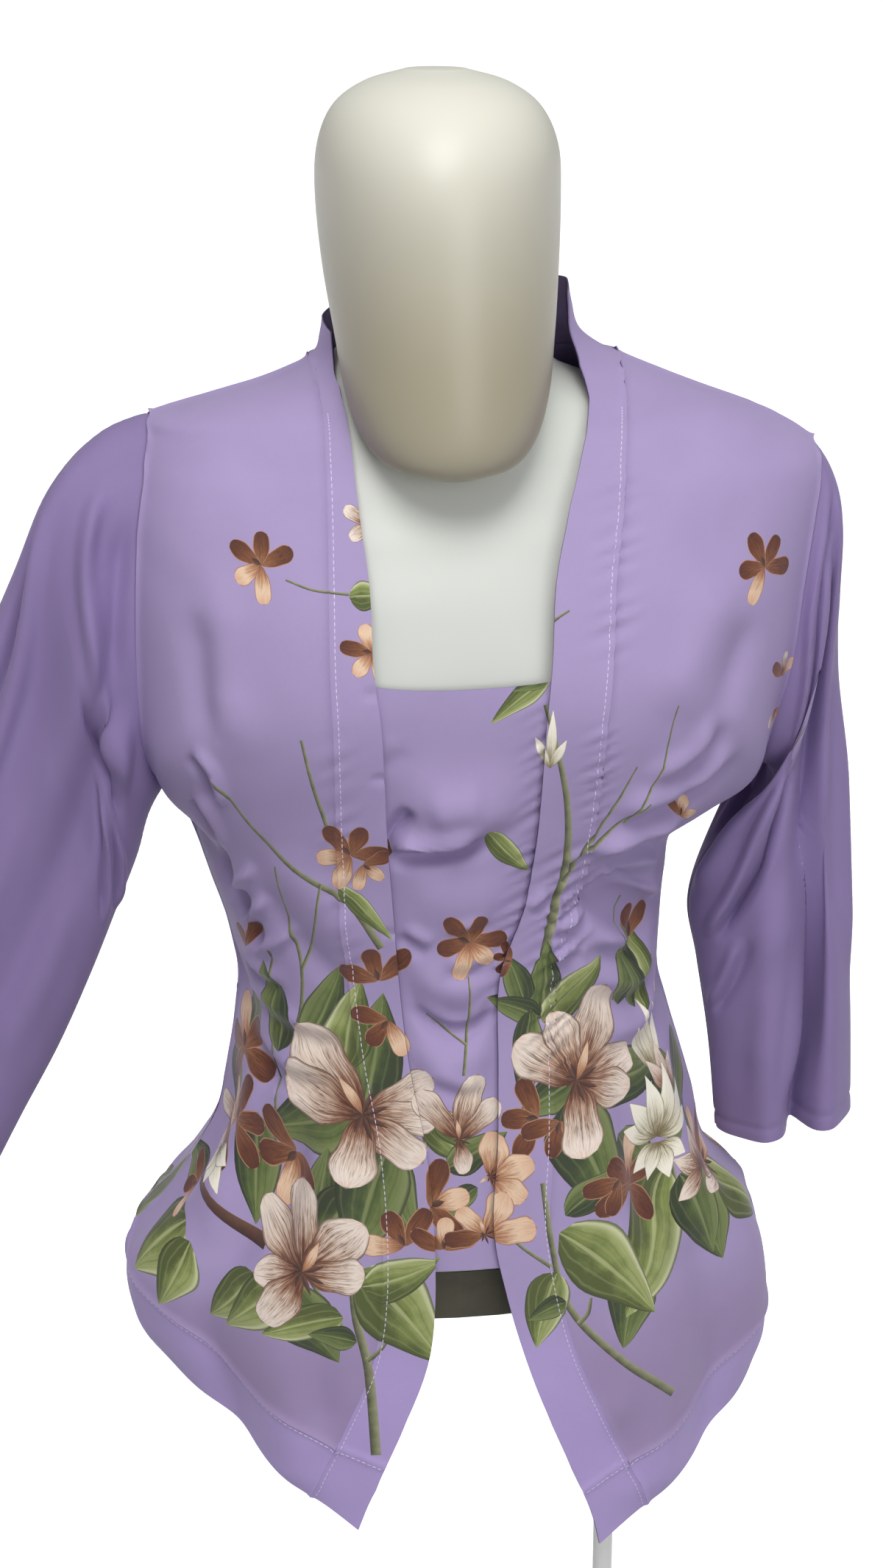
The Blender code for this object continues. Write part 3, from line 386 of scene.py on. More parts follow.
def normals_of(face, angle, level):
    """Outward normals of a surface function, by central differences."""
    along = face(angle + NORMAL_DEGREES, level) - face(angle - NORMAL_DEGREES, level)
    upward = face(angle, level + NORMAL_LEVELS) - face(angle, level - NORMAL_LEVELS)
    return unit(np.cross(along, upward))


def fold_height(angle, point):
    """The folds' height above the plain surface."""
    turned = (angle + 90.0) % 360.0 - 90.0  # from -90 round to 270, as in the table
    total = np.zeros(turned.shape)
    degree = math.radians(1.0) * FOLD_RADIUS
    for _, angle_0, height_0, angle_1, height_1, half_width, rise in BODY_FOLDS:
        along = np.array([(angle_1 - angle_0) * degree, height_1 - height_0])
        across = (turned - angle_0) * degree
        climb = point[..., 2] - height_0
        share = np.clip((across * along[0] + climb * along[1]) / (along @ along), 0, 1)
        distance = (across - share * along[0]) ** 2 + (climb - share * along[1]) ** 2
        total = total + rise * np.exp(-distance / half_width**2)
    return total


def body_point(angle, level):
    """The blouse's outer face, folds included."""
    angle, level = np.broadcast_arrays(np.asarray(angle, float), np.asarray(level, float))
    base = body_base(angle, level)
    rise = fold_height(angle, base)
    return base + normals_of(body_base, angle, level) * rise[..., None]


def angle_at(x, level):
    """The front angle at which the surface reaches this x."""
    half = curve(column(BODY_RINGS, 1 if x < 0 else 2), level)
    return math.degrees(math.asin(max(-1.0, min(1.0, x / float(half)))))


# ---------------------------------------------------------------- seams, as lines of (angle, level)
SHOULDER_STEP = 0.004  # below the neck's seam, from where the band's seam turns to the shoulder


def straight(start, end):
    """A line between two points."""
    return np.linspace(start, end, LINE_POINTS)


def side_point(side, height):
    """Where the side's line reaches a height."""
    return SIDE[side] * 90.0, float(level_of(height))


def shoulder_line(side):
    """The shoulder's seam, from the neck to the tip."""
    return straight(side_point(side, NECK_SEAM), side_point(side, SHOULDER_TIP[side]))


def evenly(line, shares):
    """Points of a line of (angle, level) at shares of its length in space."""
    run = run_of(body_point(line[:, 0], line[:, 1]))
    return at_runs(line, run / run[-1], shares)


def opening_point(index, height, aside=0.0):
    """(angle, level) at a height of a column of FRONT_EDGES, moved aside in x."""
    level = float(level_of(height))
    return angle_at(float(height_curve(index, height)) + aside, level), level


def opening_line(index, low, high, aside=0.0):
    """A column of FRONT_EDGES between two heights, as a line."""
    heights = np.linspace(low, high, LINE_POINTS)
    return np.array([opening_point(index, height, aside) for height in heights])


def band_seam(side):
    """From the hem's edge to the neck seam's end on the shoulder."""
    line = opening_line(SEAM[side], TAIL_SEAM[side], NECK_SEAM - SHOULDER_STEP)
    return np.concatenate([line, [side_point(side, NECK_SEAM)]])


def side_line(side, low, high):
    """The side's line between two heights."""
    levels = level_of(np.linspace(low, high, LINE_POINTS))
    return np.stack([np.full(LINE_POINTS, SIDE[side] * 90.0), levels], -1)


def armhole(side, face):
    """From the underarm to the shoulder tip, round the front or the back."""
    share = np.linspace(0.0, 1.0, LINE_POINTS)
    low, high = (float(level_of(table[side])) for table in (UNDERARM, SHOULDER_TIP))
    lean = ARMHOLE_SCOOP[face] * np.sin(math.pi * share) ** SCOOP_POWER
    angle = 90.0 + (lean if face == "back" else -lean)
    level = low + (high - low) * (1.0 - np.cos(math.pi * share)) / 2
    return np.stack([SIDE[side] * angle, level], -1)


def centre_face(angle, level):
    """The centre panel's outer face, between the bands."""
    base = body_point(angle, level)
    normal = normals_of(body_point, angle, level)
    height = base[..., 2]
    edge_r, edge_l = height_curve(EDGE["r"], height), height_curve(EDGE["l"], height)
    share = (base[..., 0] - edge_r) / (edge_l - edge_r)
    open_part = smoothstep(share / CENTRE_EASE) * smoothstep((1 - share) / CENTRE_EASE)
    puff = 0.0
    for _, height_r, height_l, half_width, rise in CENTRE_FOLDS:
        middle = height_r + (height_l - height_r) * np.clip(share, 0, 1)
        middle = middle - PUFF_SAG * 4 * share * (1 - share)
        puff = puff + rise * np.exp(-(((height - middle) / half_width) ** 2))
    return base + normal * (open_part * puff - CENTRE_DROP)[..., None]


# ---------------------------------------------------------------- flat cloth coordinates
LEVELS = np.linspace(0.0, len(BODY_RINGS) - 1.0, 10 * len(BODY_RINGS) - 9)  # in tenths of a row
STEEP_FROM = 0.900  # above this height the shoulders slope in
STEEP_SHARE = 0.7  # the slope that the rise follows, between the side's and the centre's
GIRTH, SLEEVE_LENGTH = 0.36, 0.42  # of a sleeve laid flat
BEFORE_LAST = 0.001  # rows kept short of the last one, so that a next one is there
SHORTEST = 1e-9  # keeps divisions by a length from failing


class Trunk:
    """The trunk's cloth laid flat as (girth, rise), girth measured from one angle."""

    def __init__(self, middle, first, last):
        self.turns = np.arange(first, last + 1.0)
        ring = body_base(self.turns[None, :], LEVELS[:, None])
        steps = np.linalg.norm(np.diff(ring[..., :2], axis=1), axis=-1)
        girth = np.concatenate([np.zeros((len(LEVELS), 1)), np.cumsum(steps, axis=1)], axis=1)
        self.girth = girth - girth[:, [int(middle - first)]]
        height, right, left = (curve(column(BODY_RINGS, index), LEVELS) for index in (0, 1, 2))
        climb, draw = np.diff(height), STEEP_SHARE * np.diff((right + left) / 2)
        rise = np.where(height[1:] > STEEP_FROM, np.hypot(climb, draw), climb)
        self.rise = height[0] + np.concatenate([[0.0], np.cumsum(rise)])

    def rows(self, level):
        """Girths at these levels."""
        last = len(LEVELS) - 1
        at = np.clip(np.asarray(level, float) * last / LEVELS[-1], 0, last - BEFORE_LAST)
        low = at.astype(int)
        share = (at - low)[:, None]
        return self.girth[low] * (1 - share) + self.girth[low + 1] * share

    def flat(self, line):
        """(girth, rise) of a line of (angle, level)."""
        line = np.asarray(line, float)
        rows = self.rows(line[:, 1])
        girth = [np.interp(angle, self.turns, row) for angle, row in zip(line[:, 0], rows)]
        return np.stack([girth, np.interp(line[:, 1], LEVELS, self.rise)], -1)

    def turned(self, flat):
        """(angle, level) of flat points, as two arrays."""
        level = np.interp(flat[:, 1], self.rise, LEVELS)
        rows = self.rows(level)
        low = np.clip((rows < flat[:, :1]).sum(axis=1) - 1, 0, len(self.turns) - 2)
        each = np.arange(len(flat))
        start, end = rows[each, low], rows[each, low + 1]
        return self.turns[low] + (flat[:, 0] - start) / (end - start), level

    def on(self, face):
        """A function that lays flat points on a face of the trunk."""

        def lay(flat):
            angle, level = self.turned(flat)
            return face(angle, level), normals_of(face, angle, level)

        return lay


FRONT = Trunk(0, -185, 185)  # middle, first and last angle
BACK = Trunk(180, 85, 275)
ON_FRONT, ON_BACK = FRONT.on(body_point), BACK.on(body_point)


def smooth_path(path, steps=8):
    """A smooth line through a few points, with this many steps between two of them."""
    path = np.asarray(path, float)
    at = np.linspace(0, len(path) - 1, steps * (len(path) - 1) + 1)
    return np.stack([curve(path[:, axis], at) for axis in range(path.shape[1])], -1)


def beside(path, points):
    """Where points lie along a line and how far to its left, in flat coordinates."""
    start, step = path[:-1], np.diff(path, axis=0)
    length = np.maximum(np.linalg.norm(step, axis=1), SHORTEST)
    offset = points[:, None, :] - start[None]
    share = np.clip((offset * step[None]).sum(-1) / length**2, 0, 1)
    gap = np.linalg.norm(offset - share[..., None] * step[None], axis=-1)
    nearest = gap.argmin(axis=1)
    each = np.arange(len(points))
    (step_x, step_y), (off_x, off_y) = step[nearest].T, offset[each, nearest].T
    left = np.sign(step_x * off_y - step_y * off_x)
    before = np.concatenate([[0.0], np.cumsum(length)])
    return before[nearest] + share[each, nearest] * length[nearest], gap[each, nearest] * left


def lefts_of(path):
    """Unit vectors to the left of a flat line, at its points."""
    ahead = unit(np.gradient(path, axis=0))
    return np.stack([-ahead[:, 1], ahead[:, 0]], -1)


# ---------------------------------------------------------------- creases
Crease = namedtuple("Crease", "form half_width height path")
Pucker = namedtuple("Pucker", "path spacing height reach start end slant")
DEEPEST = 0.010  # of any hollow, so that the cloth stays clear of the form
TAPER = 0.3  # share of its length over which a crease fades at each end
LIP_HEIGHT, LIP_PLACE = 0.9, 1.7  # of a fold's lip, to its valley's depth and half width
SEAM_STEEPNESS = 1.4
PUCKER_FADE = 0.02  # over which a row of puckers starts and ends
PUCKER_DRIFT = ((1.0, 2.3, 1.0), (0.6, 0.9, 2.0))  # height, rate and phase of their unevenness
PUCKER_SWELL, SWELL_RATE = 0.3, 1.7  # and how much and how often they grow and shrink


def crease_form(form, across):
    """The section of a crease. Across is the distance to its left in half widths."""
    if form == "fold":  # a valley with a lip on its left
        return -np.exp(-(across**2)) + LIP_HEIGHT * np.exp(-((across - LIP_PLACE) ** 2))
    if form == "seam":
        return -np.exp(-np.abs(across) * SEAM_STEEPNESS)
    return np.exp(-(across**2))


def crease_lift(crease, path, points):
    """How far a crease lifts flat points."""
    along, across = beside(path, points)
    share = along / run_of(path)[-1]
    ends = 1.0
    if crease.form != "seam":
        ends = smoothstep(share / TAPER) * smoothstep((1 - share) / TAPER)
    return crease.height * ends * crease_form(crease.form, across / crease.half_width)


def pucker_lift(pucker, path, points):
    """How far a row of small uneven waves across a line lifts flat points."""
    along, across = beside(path, points)
    waves = (along + pucker.slant * across) / pucker.spacing
    drift = sum(height * np.sin(waves * rate + phase) for height, rate, phase in PUCKER_DRIFT)
    size = (1 - PUCKER_SWELL) + PUCKER_SWELL * np.sin(waves * SWELL_RATE)
    wave = np.sin(2 * math.pi * waves + drift) * size * np.exp(-((across / pucker.reach) ** 2))
    starts = smoothstep((along - pucker.start) / PUCKER_FADE)
    return pucker.height * wave * starts * smoothstep((pucker.end - along) / PUCKER_FADE)


# How far from its line a crease or a row of puckers is taken to end, in half widths or reaches.
REACHES = {crease_lift: 4, pucker_lift: 3}


def pressed(points, creases, puckers):
    """How far the creases and puckers lift each flat point off the plain surface."""
    lift = np.zeros(len(points))
    shapes = [(crease_lift, one, smooth_path(one.path), one.half_width) for one in creases]
    shapes += [(pucker_lift, one, np.asarray(one.path), one.reach) for one in puckers]
    for lift_of, shape, path, width in shapes:
        margin = REACHES[lift_of] * width
        near = ((points > path.min(0) - margin) & (points < path.max(0) + margin)).all(1)
        if near.any():
            lift[near] += lift_of(shape, path, points[near])
    return np.where(lift < 0, DEEPEST * np.tanh(lift / DEEPEST), lift)


# ---------------------------------------------------------------- printed motifs
# local gives a motif's own coordinates of flat points: 0 to 1 along it and -1 to 1 across it.
Motif = namedtuple("Motif", "kind outline local")
# The half width of a leaf or lance: sin(pi along^place)^bluntness (1 - narrowing along).
SPINDLES = {"leaf": (0.75, 0.85, 0.25), "lance": (0.9, 1.1, 0.0)}
# And of a petal: scale along^opening (1 - along^fullness)^closing.
PETAL_SCALE, PETAL_OPENING, PETAL_FULLNESS, PETAL_CLOSING = 1.06, 0.62, 3.2, 0.55
BLADE_POINTS = 15  # along each edge
STEM_STEPS = 6  # between two points of its path
RIPPLES, RIPPLE_SHIFT = 11, 40  # radians of ripple along a blade, and its shift by the heading
LEAF_RIPPLE, SMALL_RIPPLE, BLOOM_RIPPLE = 0.04, 0.05, 0.10  # shares of the width
NARROWEST = 1e-4  # half width that a blade's own coordinates are read with, at its tips


def petal_width(form, along):
    """A motif's half width along it, from 0 to 1 of its widest."""
    if form in SPINDLES:
        place, bluntness, narrowing = SPINDLES[form]
        return np.sin(math.pi * along**place) ** bluntness * (1 - narrowing * along)
    closing = np.maximum(1 - along**PETAL_FULLNESS, 0) ** PETAL_CLOSING
    return PETAL_SCALE * along**PETAL_OPENING * closing


def blade(kind, form, base, heading, length, width, bend=0.0, ripple=0.0):
    """A petal or leaf from its base along a heading in degrees. Bend carries its tip leftwards."""
    turn = math.radians(heading)
    ahead = np.array([math.cos(turn), math.sin(turn)])
    left = np.array([-ahead[1], ahead[0]])
    along = np.linspace(0, 1, BLADE_POINTS)

    def half(share):
        wavy = 1 + ripple * np.sin(RIPPLES * share + RIPPLE_SHIFT * heading)
        return petal_width(form, share) * width / 2 * wavy

    middle = base + along[:, None] * length * ahead + (bend * length * along**2)[:, None] * left
    edge = half(along)[:, None] * left
    outline = np.concatenate([middle - edge, (middle + edge)[-2:0:-1]])

    def local(points):
        offset = points - base
        share = np.clip(offset @ ahead / length, 0.0, 1.0)
        side = offset @ left - bend * length * share**2
        return np.stack([share, np.clip(side / np.maximum(half(share), NARROWEST), -1, 1)], -1)

    return Motif(kind, outline, local)


def stem(kind, path, widths):
    """A stem along a line, from one width to another."""
    path = smooth_path(path, STEM_STEPS)
    left = lefts_of(path)
    half = np.linspace(widths[0], widths[1], len(path))[:, None] / 2
    outline = np.concatenate([path - half * left, (path + half * left)[::-1]])
    length = run_of(path)[-1]

    def local(points):
        along, across = beside(path, points)
        width = np.interp(along / length, (0, 1), widths) / 2
        return np.stack([along / length, np.clip(across / width, -1, 1)], -1)

    return Motif(kind, outline, local)


PETAL_BEND = 0.08  # to the left and to the right by turns
THROAT_HEADINGS = range(20, 380, 45)  # of the dark rays in a large flower's throat
THROAT_SPREAD = 0.4  # how much the rays differ in length
RAY_WIDTH = 0.28  # in throats
PISTIL = (2.0, 0.55, 0.15)  # its length and width in throats, and its bend


def bloom(centre, petals, throat, pistil):
    """A flower: petals of (kind, heading, length, width), back ones first, then its throat."""
    drawn = [
        blade(kind, "petal", centre, *sizes, PETAL_BEND * (-1) ** index, BLOOM_RIPPLE)
        for index, (kind, *sizes) in enumerate(petals)
    ]
    for heading in THROAT_HEADINGS:
        reach = throat * (1.0 + THROAT_SPREAD * math.sin(heading))
        drawn.append(blade("bark", "lance", centre, heading, reach, throat * RAY_WIDTH))
    length, width, bend = PISTIL
    return drawn + [blade("peach", "lance", centre, pistil, throat * length, throat * width, bend)]


FLOWER_STEP = 62.0  # degrees between a small flower's petals
SMALL_PETAL = 0.70  # a petal's width to the flower's size
SHORTER = 0.14  # how much shorter every second petal is
HEART = (0.32, 0.14)  # length and width of the dark heart, to the flower's size
LETTERS = {"b": "brown", "p": "peach", "c": "cream"}


def small_flower(centre, heading, size, kinds):
    """Petals fanned out about a heading, in the kinds that the LETTERS name."""
    drawn = []
    for index, letter in enumerate(kinds):
        turn = heading + FLOWER_STEP * (index - (len(kinds) - 1) / 2)
        sizes = (turn, size * (1.0 - SHORTER * (index % 2)), SMALL_PETAL * size)
        drawn.append(blade(LETTERS[letter], "petal", centre, *sizes, ripple=SMALL_RIPPLE))
    length, width = HEART
    return drawn + [blade("bark", "lance", centre, heading, size * length, size * width)]


def shifted(motif, shift):
    """A copy of a motif, moved."""
    return Motif(motif.kind, motif.outline + shift, lambda points: motif.local(points - shift))


# ---------------------------------------------------------------- cutting and laying cloth
PRINT_SLOTS = ("cream", "white", "peach", "brown", "leaf", "shade leaf", "stem", "bark")
MERGE = 0.02  # distance in millimetres at which points of the cut become one
SPACING = 0.003  # between points of the cloth's lattice
ROW_HEIGHT = 0.866  # between the lattice's rows, in spacings
LATTICE_START = 0.3  # spacings in from the left
OUTER_SHARE = 0.80  # height of the bake's map that the outer face takes
RIM_STRIP, RIM_HEIGHT = 0.01, 0.005  # the rim's strip above it: where it starts and its height
INNER_START = 0.02  # above it, where the plain inner face starts
FLATTEST = 1e-12  # keeps a normal of no area from dividing by zero


def inside(outline, points):
    """Which points an outline holds."""
    found = np.zeros(len(points), bool)
    for (x0, y0), (x1, y1) in zip(outline, np.roll(outline, -1, axis=0)):
        if y0 == y1:
            continue
        crosses = (points[:, 1] > y0) != (points[:, 1] > y1)
        found ^= crosses & (points[:, 0] < x0 + (points[:, 1] - y0) / (y1 - y0) * (x1 - x0))
    return found


def respaced(outline):
    """A closed outline with no step longer than the spacing."""
    points = []
    for start, end in zip(outline, np.roll(outline, -1, axis=0)):
        count = max(1, math.ceil(np.linalg.norm(end - start) / SPACING))
        points += [start + (end - start) * step / count for step in range(count)]
    return np.array(points)


def signed_area(outline):
    """The area inside a closed outline, above 0 if it runs anticlockwise."""
    x, y = outline.T
    return (x @ np.roll(y, -1) - y @ np.roll(x, -1)) / 2


def anticlockwise(outline):
    """A closed outline, turned round if it runs clockwise."""
    return outline if signed_area(outline) > 0 else outline[::-1]


def lattice_in(outline):
    """Points in even triangles inside an outline."""
    low, high = outline.min(0), outline.max(0)
    columns, rows = np.ceil((high - low) / SPACING / (1.0, ROW_HEIGHT)).astype(int)
    col, row = np.meshgrid(np.arange(columns), np.arange(rows))
    places = (col + 0.5 * (row % 2) + LATTICE_START, (row + 0.5) * ROW_HEIGHT)
    lattice = np.stack(places, -1).reshape(-1, 2) * SPACING + low
    return lattice[inside(outline, lattice)]


def cut(outline, motifs):
    """Points and triangles of a flat piece, and the motif that each triangle belongs to, or -1."""
    outline = respaced(anticlockwise(outline))
    low, high = outline.min(0), outline.max(0)
    shown = [
        index
        for index, motif in enumerate(motifs)
        if (motif.outline.max(0) > low).all() and (motif.outline.min(0) < high).all()
    ]
    loops = [outline] + [anticlockwise(motifs[index].outline) for index in shown]
    starts = np.cumsum([0] + [len(loop) for loop in loops])
    faces = [list(range(start, end)) for start, end in zip(starts[:-1], starts[1:])]
    given = np.concatenate(loops + [lattice_in(outline)]) * MILLIMETRES
    found = delaunay_2d_cdt([Vector(point) for point in given], [], faces, 1, MERGE, True)
    vertices, _, found_triangles, _, _, sources_of = found
    triangles, owners = [], []
    for triangle, sources in zip(found_triangles, sources_of):
        if 0 in sources:
            triangles.append(triangle)
            top = max(sources)
            owners.append(shown[top - 1] if top else -1)
    points = np.array([tuple(point) for point in vertices]) / MILLIMETRES
    return points, np.array(triangles), np.array(owners)


def smooth_normals(places, triangles):
    """Normals of the points, by the areas of the triangles round them."""
    corners = places[triangles]
    cross = np.cross(corners[:, 1] - corners[:, 0], corners[:, 2] - corners[:, 0])
    normals = np.zeros_like(places)
    for corner in range(3):
        np.add.at(normals, triangles[:, corner], cross)
    return normals / np.maximum(np.linalg.norm(normals, axis=1, keepdims=True), FLATTEST)


def border_of(triangles):
    """The directed edges that only one triangle has."""
    edges = np.concatenate([triangles[:, [0, 1]], triangles[:, [1, 2]], triangles[:, [2, 0]]])
    one_way = {tuple(edge) for edge in edges.tolist()}
    return np.array([edge for edge in edges.tolist() if (edge[1], edge[0]) not in one_way])


def mesh_of(name, points, faces):
    """A smooth object of a mesh in the scene."""
    mesh = bpy.data.meshes.new(name)
    mesh.from_pydata(np.asarray(points).tolist(), [], [list(face) for face in faces])
    obj = bpy.data.objects.new(name, mesh)
    bpy.context.scene.collection.objects.link(obj)
    mesh.shade_smooth()
    return obj


def write_map(mesh, name, parts):
    """A UV map, from its parts for the outer face, the inner face and the rim."""
    layer = mesh.uv_layers.new(name=name, do_init=False)
    values = np.concatenate([np.reshape(part, (-1, 2)) for part in parts])
    layer.uv.foreach_set("vector", np.asarray(values, np.float32).ravel())


def write_maps(mesh, points, triangles, rims, motifs, owners):
    """The maps of a piece: its metres, its motifs' own coordinates and the bake's."""
    outer, inner, rim = points[triangles], points[triangles[:, ::-1]], points[rims % len(points)]
    write_map(mesh, "cloth", (outer, inner, rim))

    drawn = np.zeros_like(outer)
    for index in set(owners.tolist()) - {-1}:
        own = owners == index
        drawn[own] = motifs[index].local(outer[own].reshape(-1, 2)).reshape(-1, 3, 2)
    write_map(mesh, "print", (drawn, np.zeros_like(inner), np.zeros_like(rim)))

    low, span = points.min(0), np.ptp(points, axis=0)
    inner_start = OUTER_SHARE + INNER_START
    along = (np.arange(len(rims))[:, None] + (1, 0, 0, 1)) / len(rims)
    across = OUTER_SHARE + RIM_STRIP + RIM_HEIGHT * np.array([0, 0, 1, 1])
    baked = (
        (outer - low) / span * (1, OUTER_SHARE),
        (inner - low) / span * (1, 1 - inner_start) + (0, inner_start),
        np.stack([along, np.broadcast_to(across, along.shape)], -1),
    )
    write_map(mesh, "OFBake", baked)


def dress(name, outline, lay, cloth, thick, motifs=(), creases=(), puckers=()):
    """A piece of cloth, cut flat and laid on its surface, with a plain inner face."""
    points, triangles, owners = cut(np.asarray(outline), motifs)
    places, plain_normals = lay(points)
    outer = places + plain_normals * pressed(points, creases, puckers)[:, None]
    normals = smooth_normals(outer, triangles)
    if (normals * plain_normals).sum() < 0:
        triangles, normals = triangles[:, ::-1], -normals
    count = len(points)
    edges = border_of(triangles)
    rims = np.stack([edges[:, 1], edges[:, 0], edges[:, 0] + count, edges[:, 1] + count], -1)
    faces = triangles.tolist() + (triangles[:, ::-1] + count).tolist() + rims.tolist()
    obj = mesh_of(name, np.concatenate([outer, outer - normals * thick]), faces)
    mesh = obj.data
    mesh.normals_split_custom_set_from_vertices(np.concatenate([normals, -normals]).tolist())

    ground, kinds, shaded_inside = cloth
    for material in (ground, *(kinds[kind] for kind in PRINT_SLOTS), shaded_inside):
        mesh.materials.append(material)
    slots = np.full(len(faces), len(PRINT_SLOTS) + 1)
    kind_slots = [PRINT_SLOTS.index(motif.kind) + 1 for motif in motifs] + [0]
    slots[: len(triangles)] = np.array(kind_slots)[owners]
    mesh.polygons.foreach_set("material_index", slots.astype(np.int32))
    write_maps(mesh, points, triangles, rims, motifs, owners)
    mesh.update()
    return obj


# ---------------------------------------------------------------- threads
STITCH = 0.0026  # length of a stitch and the step to the next
STITCH_STEP = 0.0036
THREAD = 0.00030  # its radius
THREAD_LIFT = 0.0001  # of its middle off the cloth
THREAD_SIDES = 6
STITCH_SHARES = np.array([0.0, 0.15, 0.5, 0.85, 1.0])  # of a stitch's length
STITCH_GIRTHS = np.array([0.2, 0.8, 1.0, 0.8, 0.2])  # of the thread's radius there


def tube_faces(base, rows, count):
    """Faces of a closed tube: two caps and the quads between its rows of points, from base on."""
    caps = [range(count), range(rows * count - 1, (rows - 1) * count - 1, -1)]
    quads = [
        (low + col, low + there, low + count + there, low + count + col)
        for low in range(0, (rows - 1) * count, count)
        for col, there in zip(range(count), (*range(1, count), 0))
    ]
    return [[base + corner for corner in face] for face in caps + quads]


def thread(name, path, lay, material, creases, puckers=()):
    """A line of stitches along a flat path."""
    run = run_of(path)
    starts = np.arange(STITCH_STEP / 2, run[-1] - STITCH, STITCH_STEP)
    flat = at_runs(path, run, (starts[:, None] + STITCH_SHARES * STITCH).ravel())
    places, normals = lay(flat)
    places = places + normals * (pressed(flat, creases, puckers)[:, None] + THREAD_LIFT)
    rows = len(STITCH_SHARES)
    places, normals = (each.reshape(len(starts), rows, 3) for each in (places, normals))
    sides = np.cross(normals, unit(places[:, -1:] - places[:, :1]))
    turns = round_turns(THREAD_SIDES)[:, None]
    circles = np.cos(turns) * sides[:, :, None] + np.sin(turns) * normals[:, :, None]
    rings = places[:, :, None] + THREAD * STITCH_GIRTHS[None, :, None, None] * circles
    faces = []
    for number in range(len(starts)):
        faces += tube_faces(number * rows * THREAD_SIDES, rows, THREAD_SIDES)
    obj = mesh_of(name, rings.reshape(-1, 3), faces)
    obj.data.materials.append(material)
    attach(obj, "root")


def moved_aside(path, gap):
    """A flat line, moved to its left."""
    return path + gap * lefts_of(path)


# ---------------------------------------------------------------- materials
# Bare numbers here are weights of shades, noises' scales (1/m) and details, and places along or
# across a motif between which something fades.
MIX_SHARE, MIX_FIRST, MIX_SECOND, MIX_COLOUR = 0, 6, 7, 2  # sockets of a Mix node for colours


def srgb(red, green, blue):
    """A colour of 0 to 255, as the eye reads it, in linear light."""
    values = np.array([red, green, blue]) / 255.0
    linear = np.where(values <= 0.04045, values / 12.92, ((values + 0.055) / 1.055) ** 2.4)
    return (*linear.tolist(), 1.0)


class Value:
    """A number that a node gives, with the usual arithmetic."""

    def __init__(self, paint, socket):
        self.paint, self.socket = paint, socket

    def maths(self, operation, *values):
        """The result of a Math node."""
        values = enumerate((self, *values))
        return Value(self.paint, self.paint.node("Math", values, operation=operation))

    def __add__(self, other):
        return self.maths("ADD", other)

    def __sub__(self, other):
        return self.maths("SUBTRACT", other)

    def __mul__(self, other):
        return self.maths("MULTIPLY", other)

    def __abs__(self):
        return self.maths("ABSOLUTE")

    def sine(self):
        return self.maths("SINE")

    def between(self, low, high):
        """0 at low and 1 at high, smoothly."""
        values = {"Value": self, "From Min": low, "From Max": high}
        made = self.paint.node("MapRange", values, interpolation_type="SMOOTHSTEP")
        return Value(self.paint, made)


class Paint:
    """A material and short ways to add its nodes."""

    def __init__(self, name, **sockets):
        self.material = bpy.data.materials.new(name)
        self.material.use_nodes = True
        self.tree = self.material.node_tree
        self.shader = self.tree.nodes["Principled BSDF"]
        self.set(**sockets)

    def set(self, **sockets):
        """Feeds the shader's sockets, named with _ for each space."""
        for name, value in sockets.items():
            self.feed(self.shader.inputs[name.replace("_", " ")], value)

    def node(self, kind, values=(), output=0, **settings):
        """A new node's output."""
        made = self.tree.nodes.new(f"ShaderNode{kind}")
        for key, value in settings.items():
            setattr(made, key, value)
        for socket, value in dict(values).items():
            self.feed(made.inputs[socket], value)
        return made.outputs[output]

    def feed(self, socket, value):
        """Links a node's output to a socket, or sets the socket to a plain value."""
        value = value.socket if isinstance(value, Value) else value
        if isinstance(value, bpy.types.NodeSocket):
            self.tree.links.new(value, socket)
        else:
            socket.default_value = value

    def mix(self, share, first, second, blend_type="MIX"):
        """A colour between two."""
        values = {MIX_SHARE: share, MIX_FIRST: first, MIX_SECOND: second}
        return self.node("Mix", values, MIX_COLOUR, data_type="RGBA", blend_type=blend_type)

    def ramp(self, value, stops):
        """The colour that stops of (place, colour) give a value."""
        colour = self.node("ValToRGB", {"Fac": value})
        set_stops(colour.node.color_ramp, stops)
        return colour

    def noise(self, vector, scale, detail, roughness=0.5):
        """A soft noise from 0 to 1."""
        values = {"Vector": vector, "Scale": scale, "Detail": detail, "Roughness": roughness}
        return Value(self, self.node("TexNoise", values, "Fac"))

    def vector(self, x, y, z=0.0):
        """A vector of three values."""
        return self.node("CombineXYZ", {"X": x, "Y": y, "Z": z})

    def split(self, vector):
        """A vector's X, Y and Z."""
        parts = self.node("SeparateXYZ", {0: vector}).node.outputs
        return [Value(self, part) for part in parts]

    def uv(self, name):
        """The two coordinates of a map, and the map itself."""
        source = self.node("UVMap", uv_map=name)
        across, up, _ = self.split(source)
        return across, up, source

    def place(self):
        """The object's own coordinates."""
        return self.node("TexCoord", output="Object")

    def bump(self, height, distance, strength):
        """Raises the surface's shading by a height of 0 to 1."""
        values = {"Height": height, "Distance": distance, "Strength": strength}
        self.set(Normal=self.node("Bump", values))


def set_stops(ramp, stops):
    """Gives a colour ramp its stops of (place, colour)."""
    while len(ramp.elements) < len(stops):
        ramp.elements.new(0.5)
    for element, (place, colour) in zip(ramp.elements, stops):
        element.position, element.color = place, colour


LILAC = srgb(170, 153, 197)
HEM_LILAC = srgb(182, 162, 216)
# The cloth's inner face is painted in shade: a darker lilac than its outer face.
SHADED_INSIDE_LILAC = srgb(140, 122, 170)
# SHADED_LILAC is painted shade: a darker copy of LILAC for the peplum's single layer.
SHADED_LILAC = srgb(160, 141, 181)
SHEEN_LILAC = srgb(214, 200, 236)
YARN = 0.00042  # between yarns of the crepe
SHADE_AND_HEM_HEIGHT = 0.42  # below this height the peplum's one layer is painted in shade (SHADED_LILAC) for its dark inside, and the bands turn to the hem's own tone
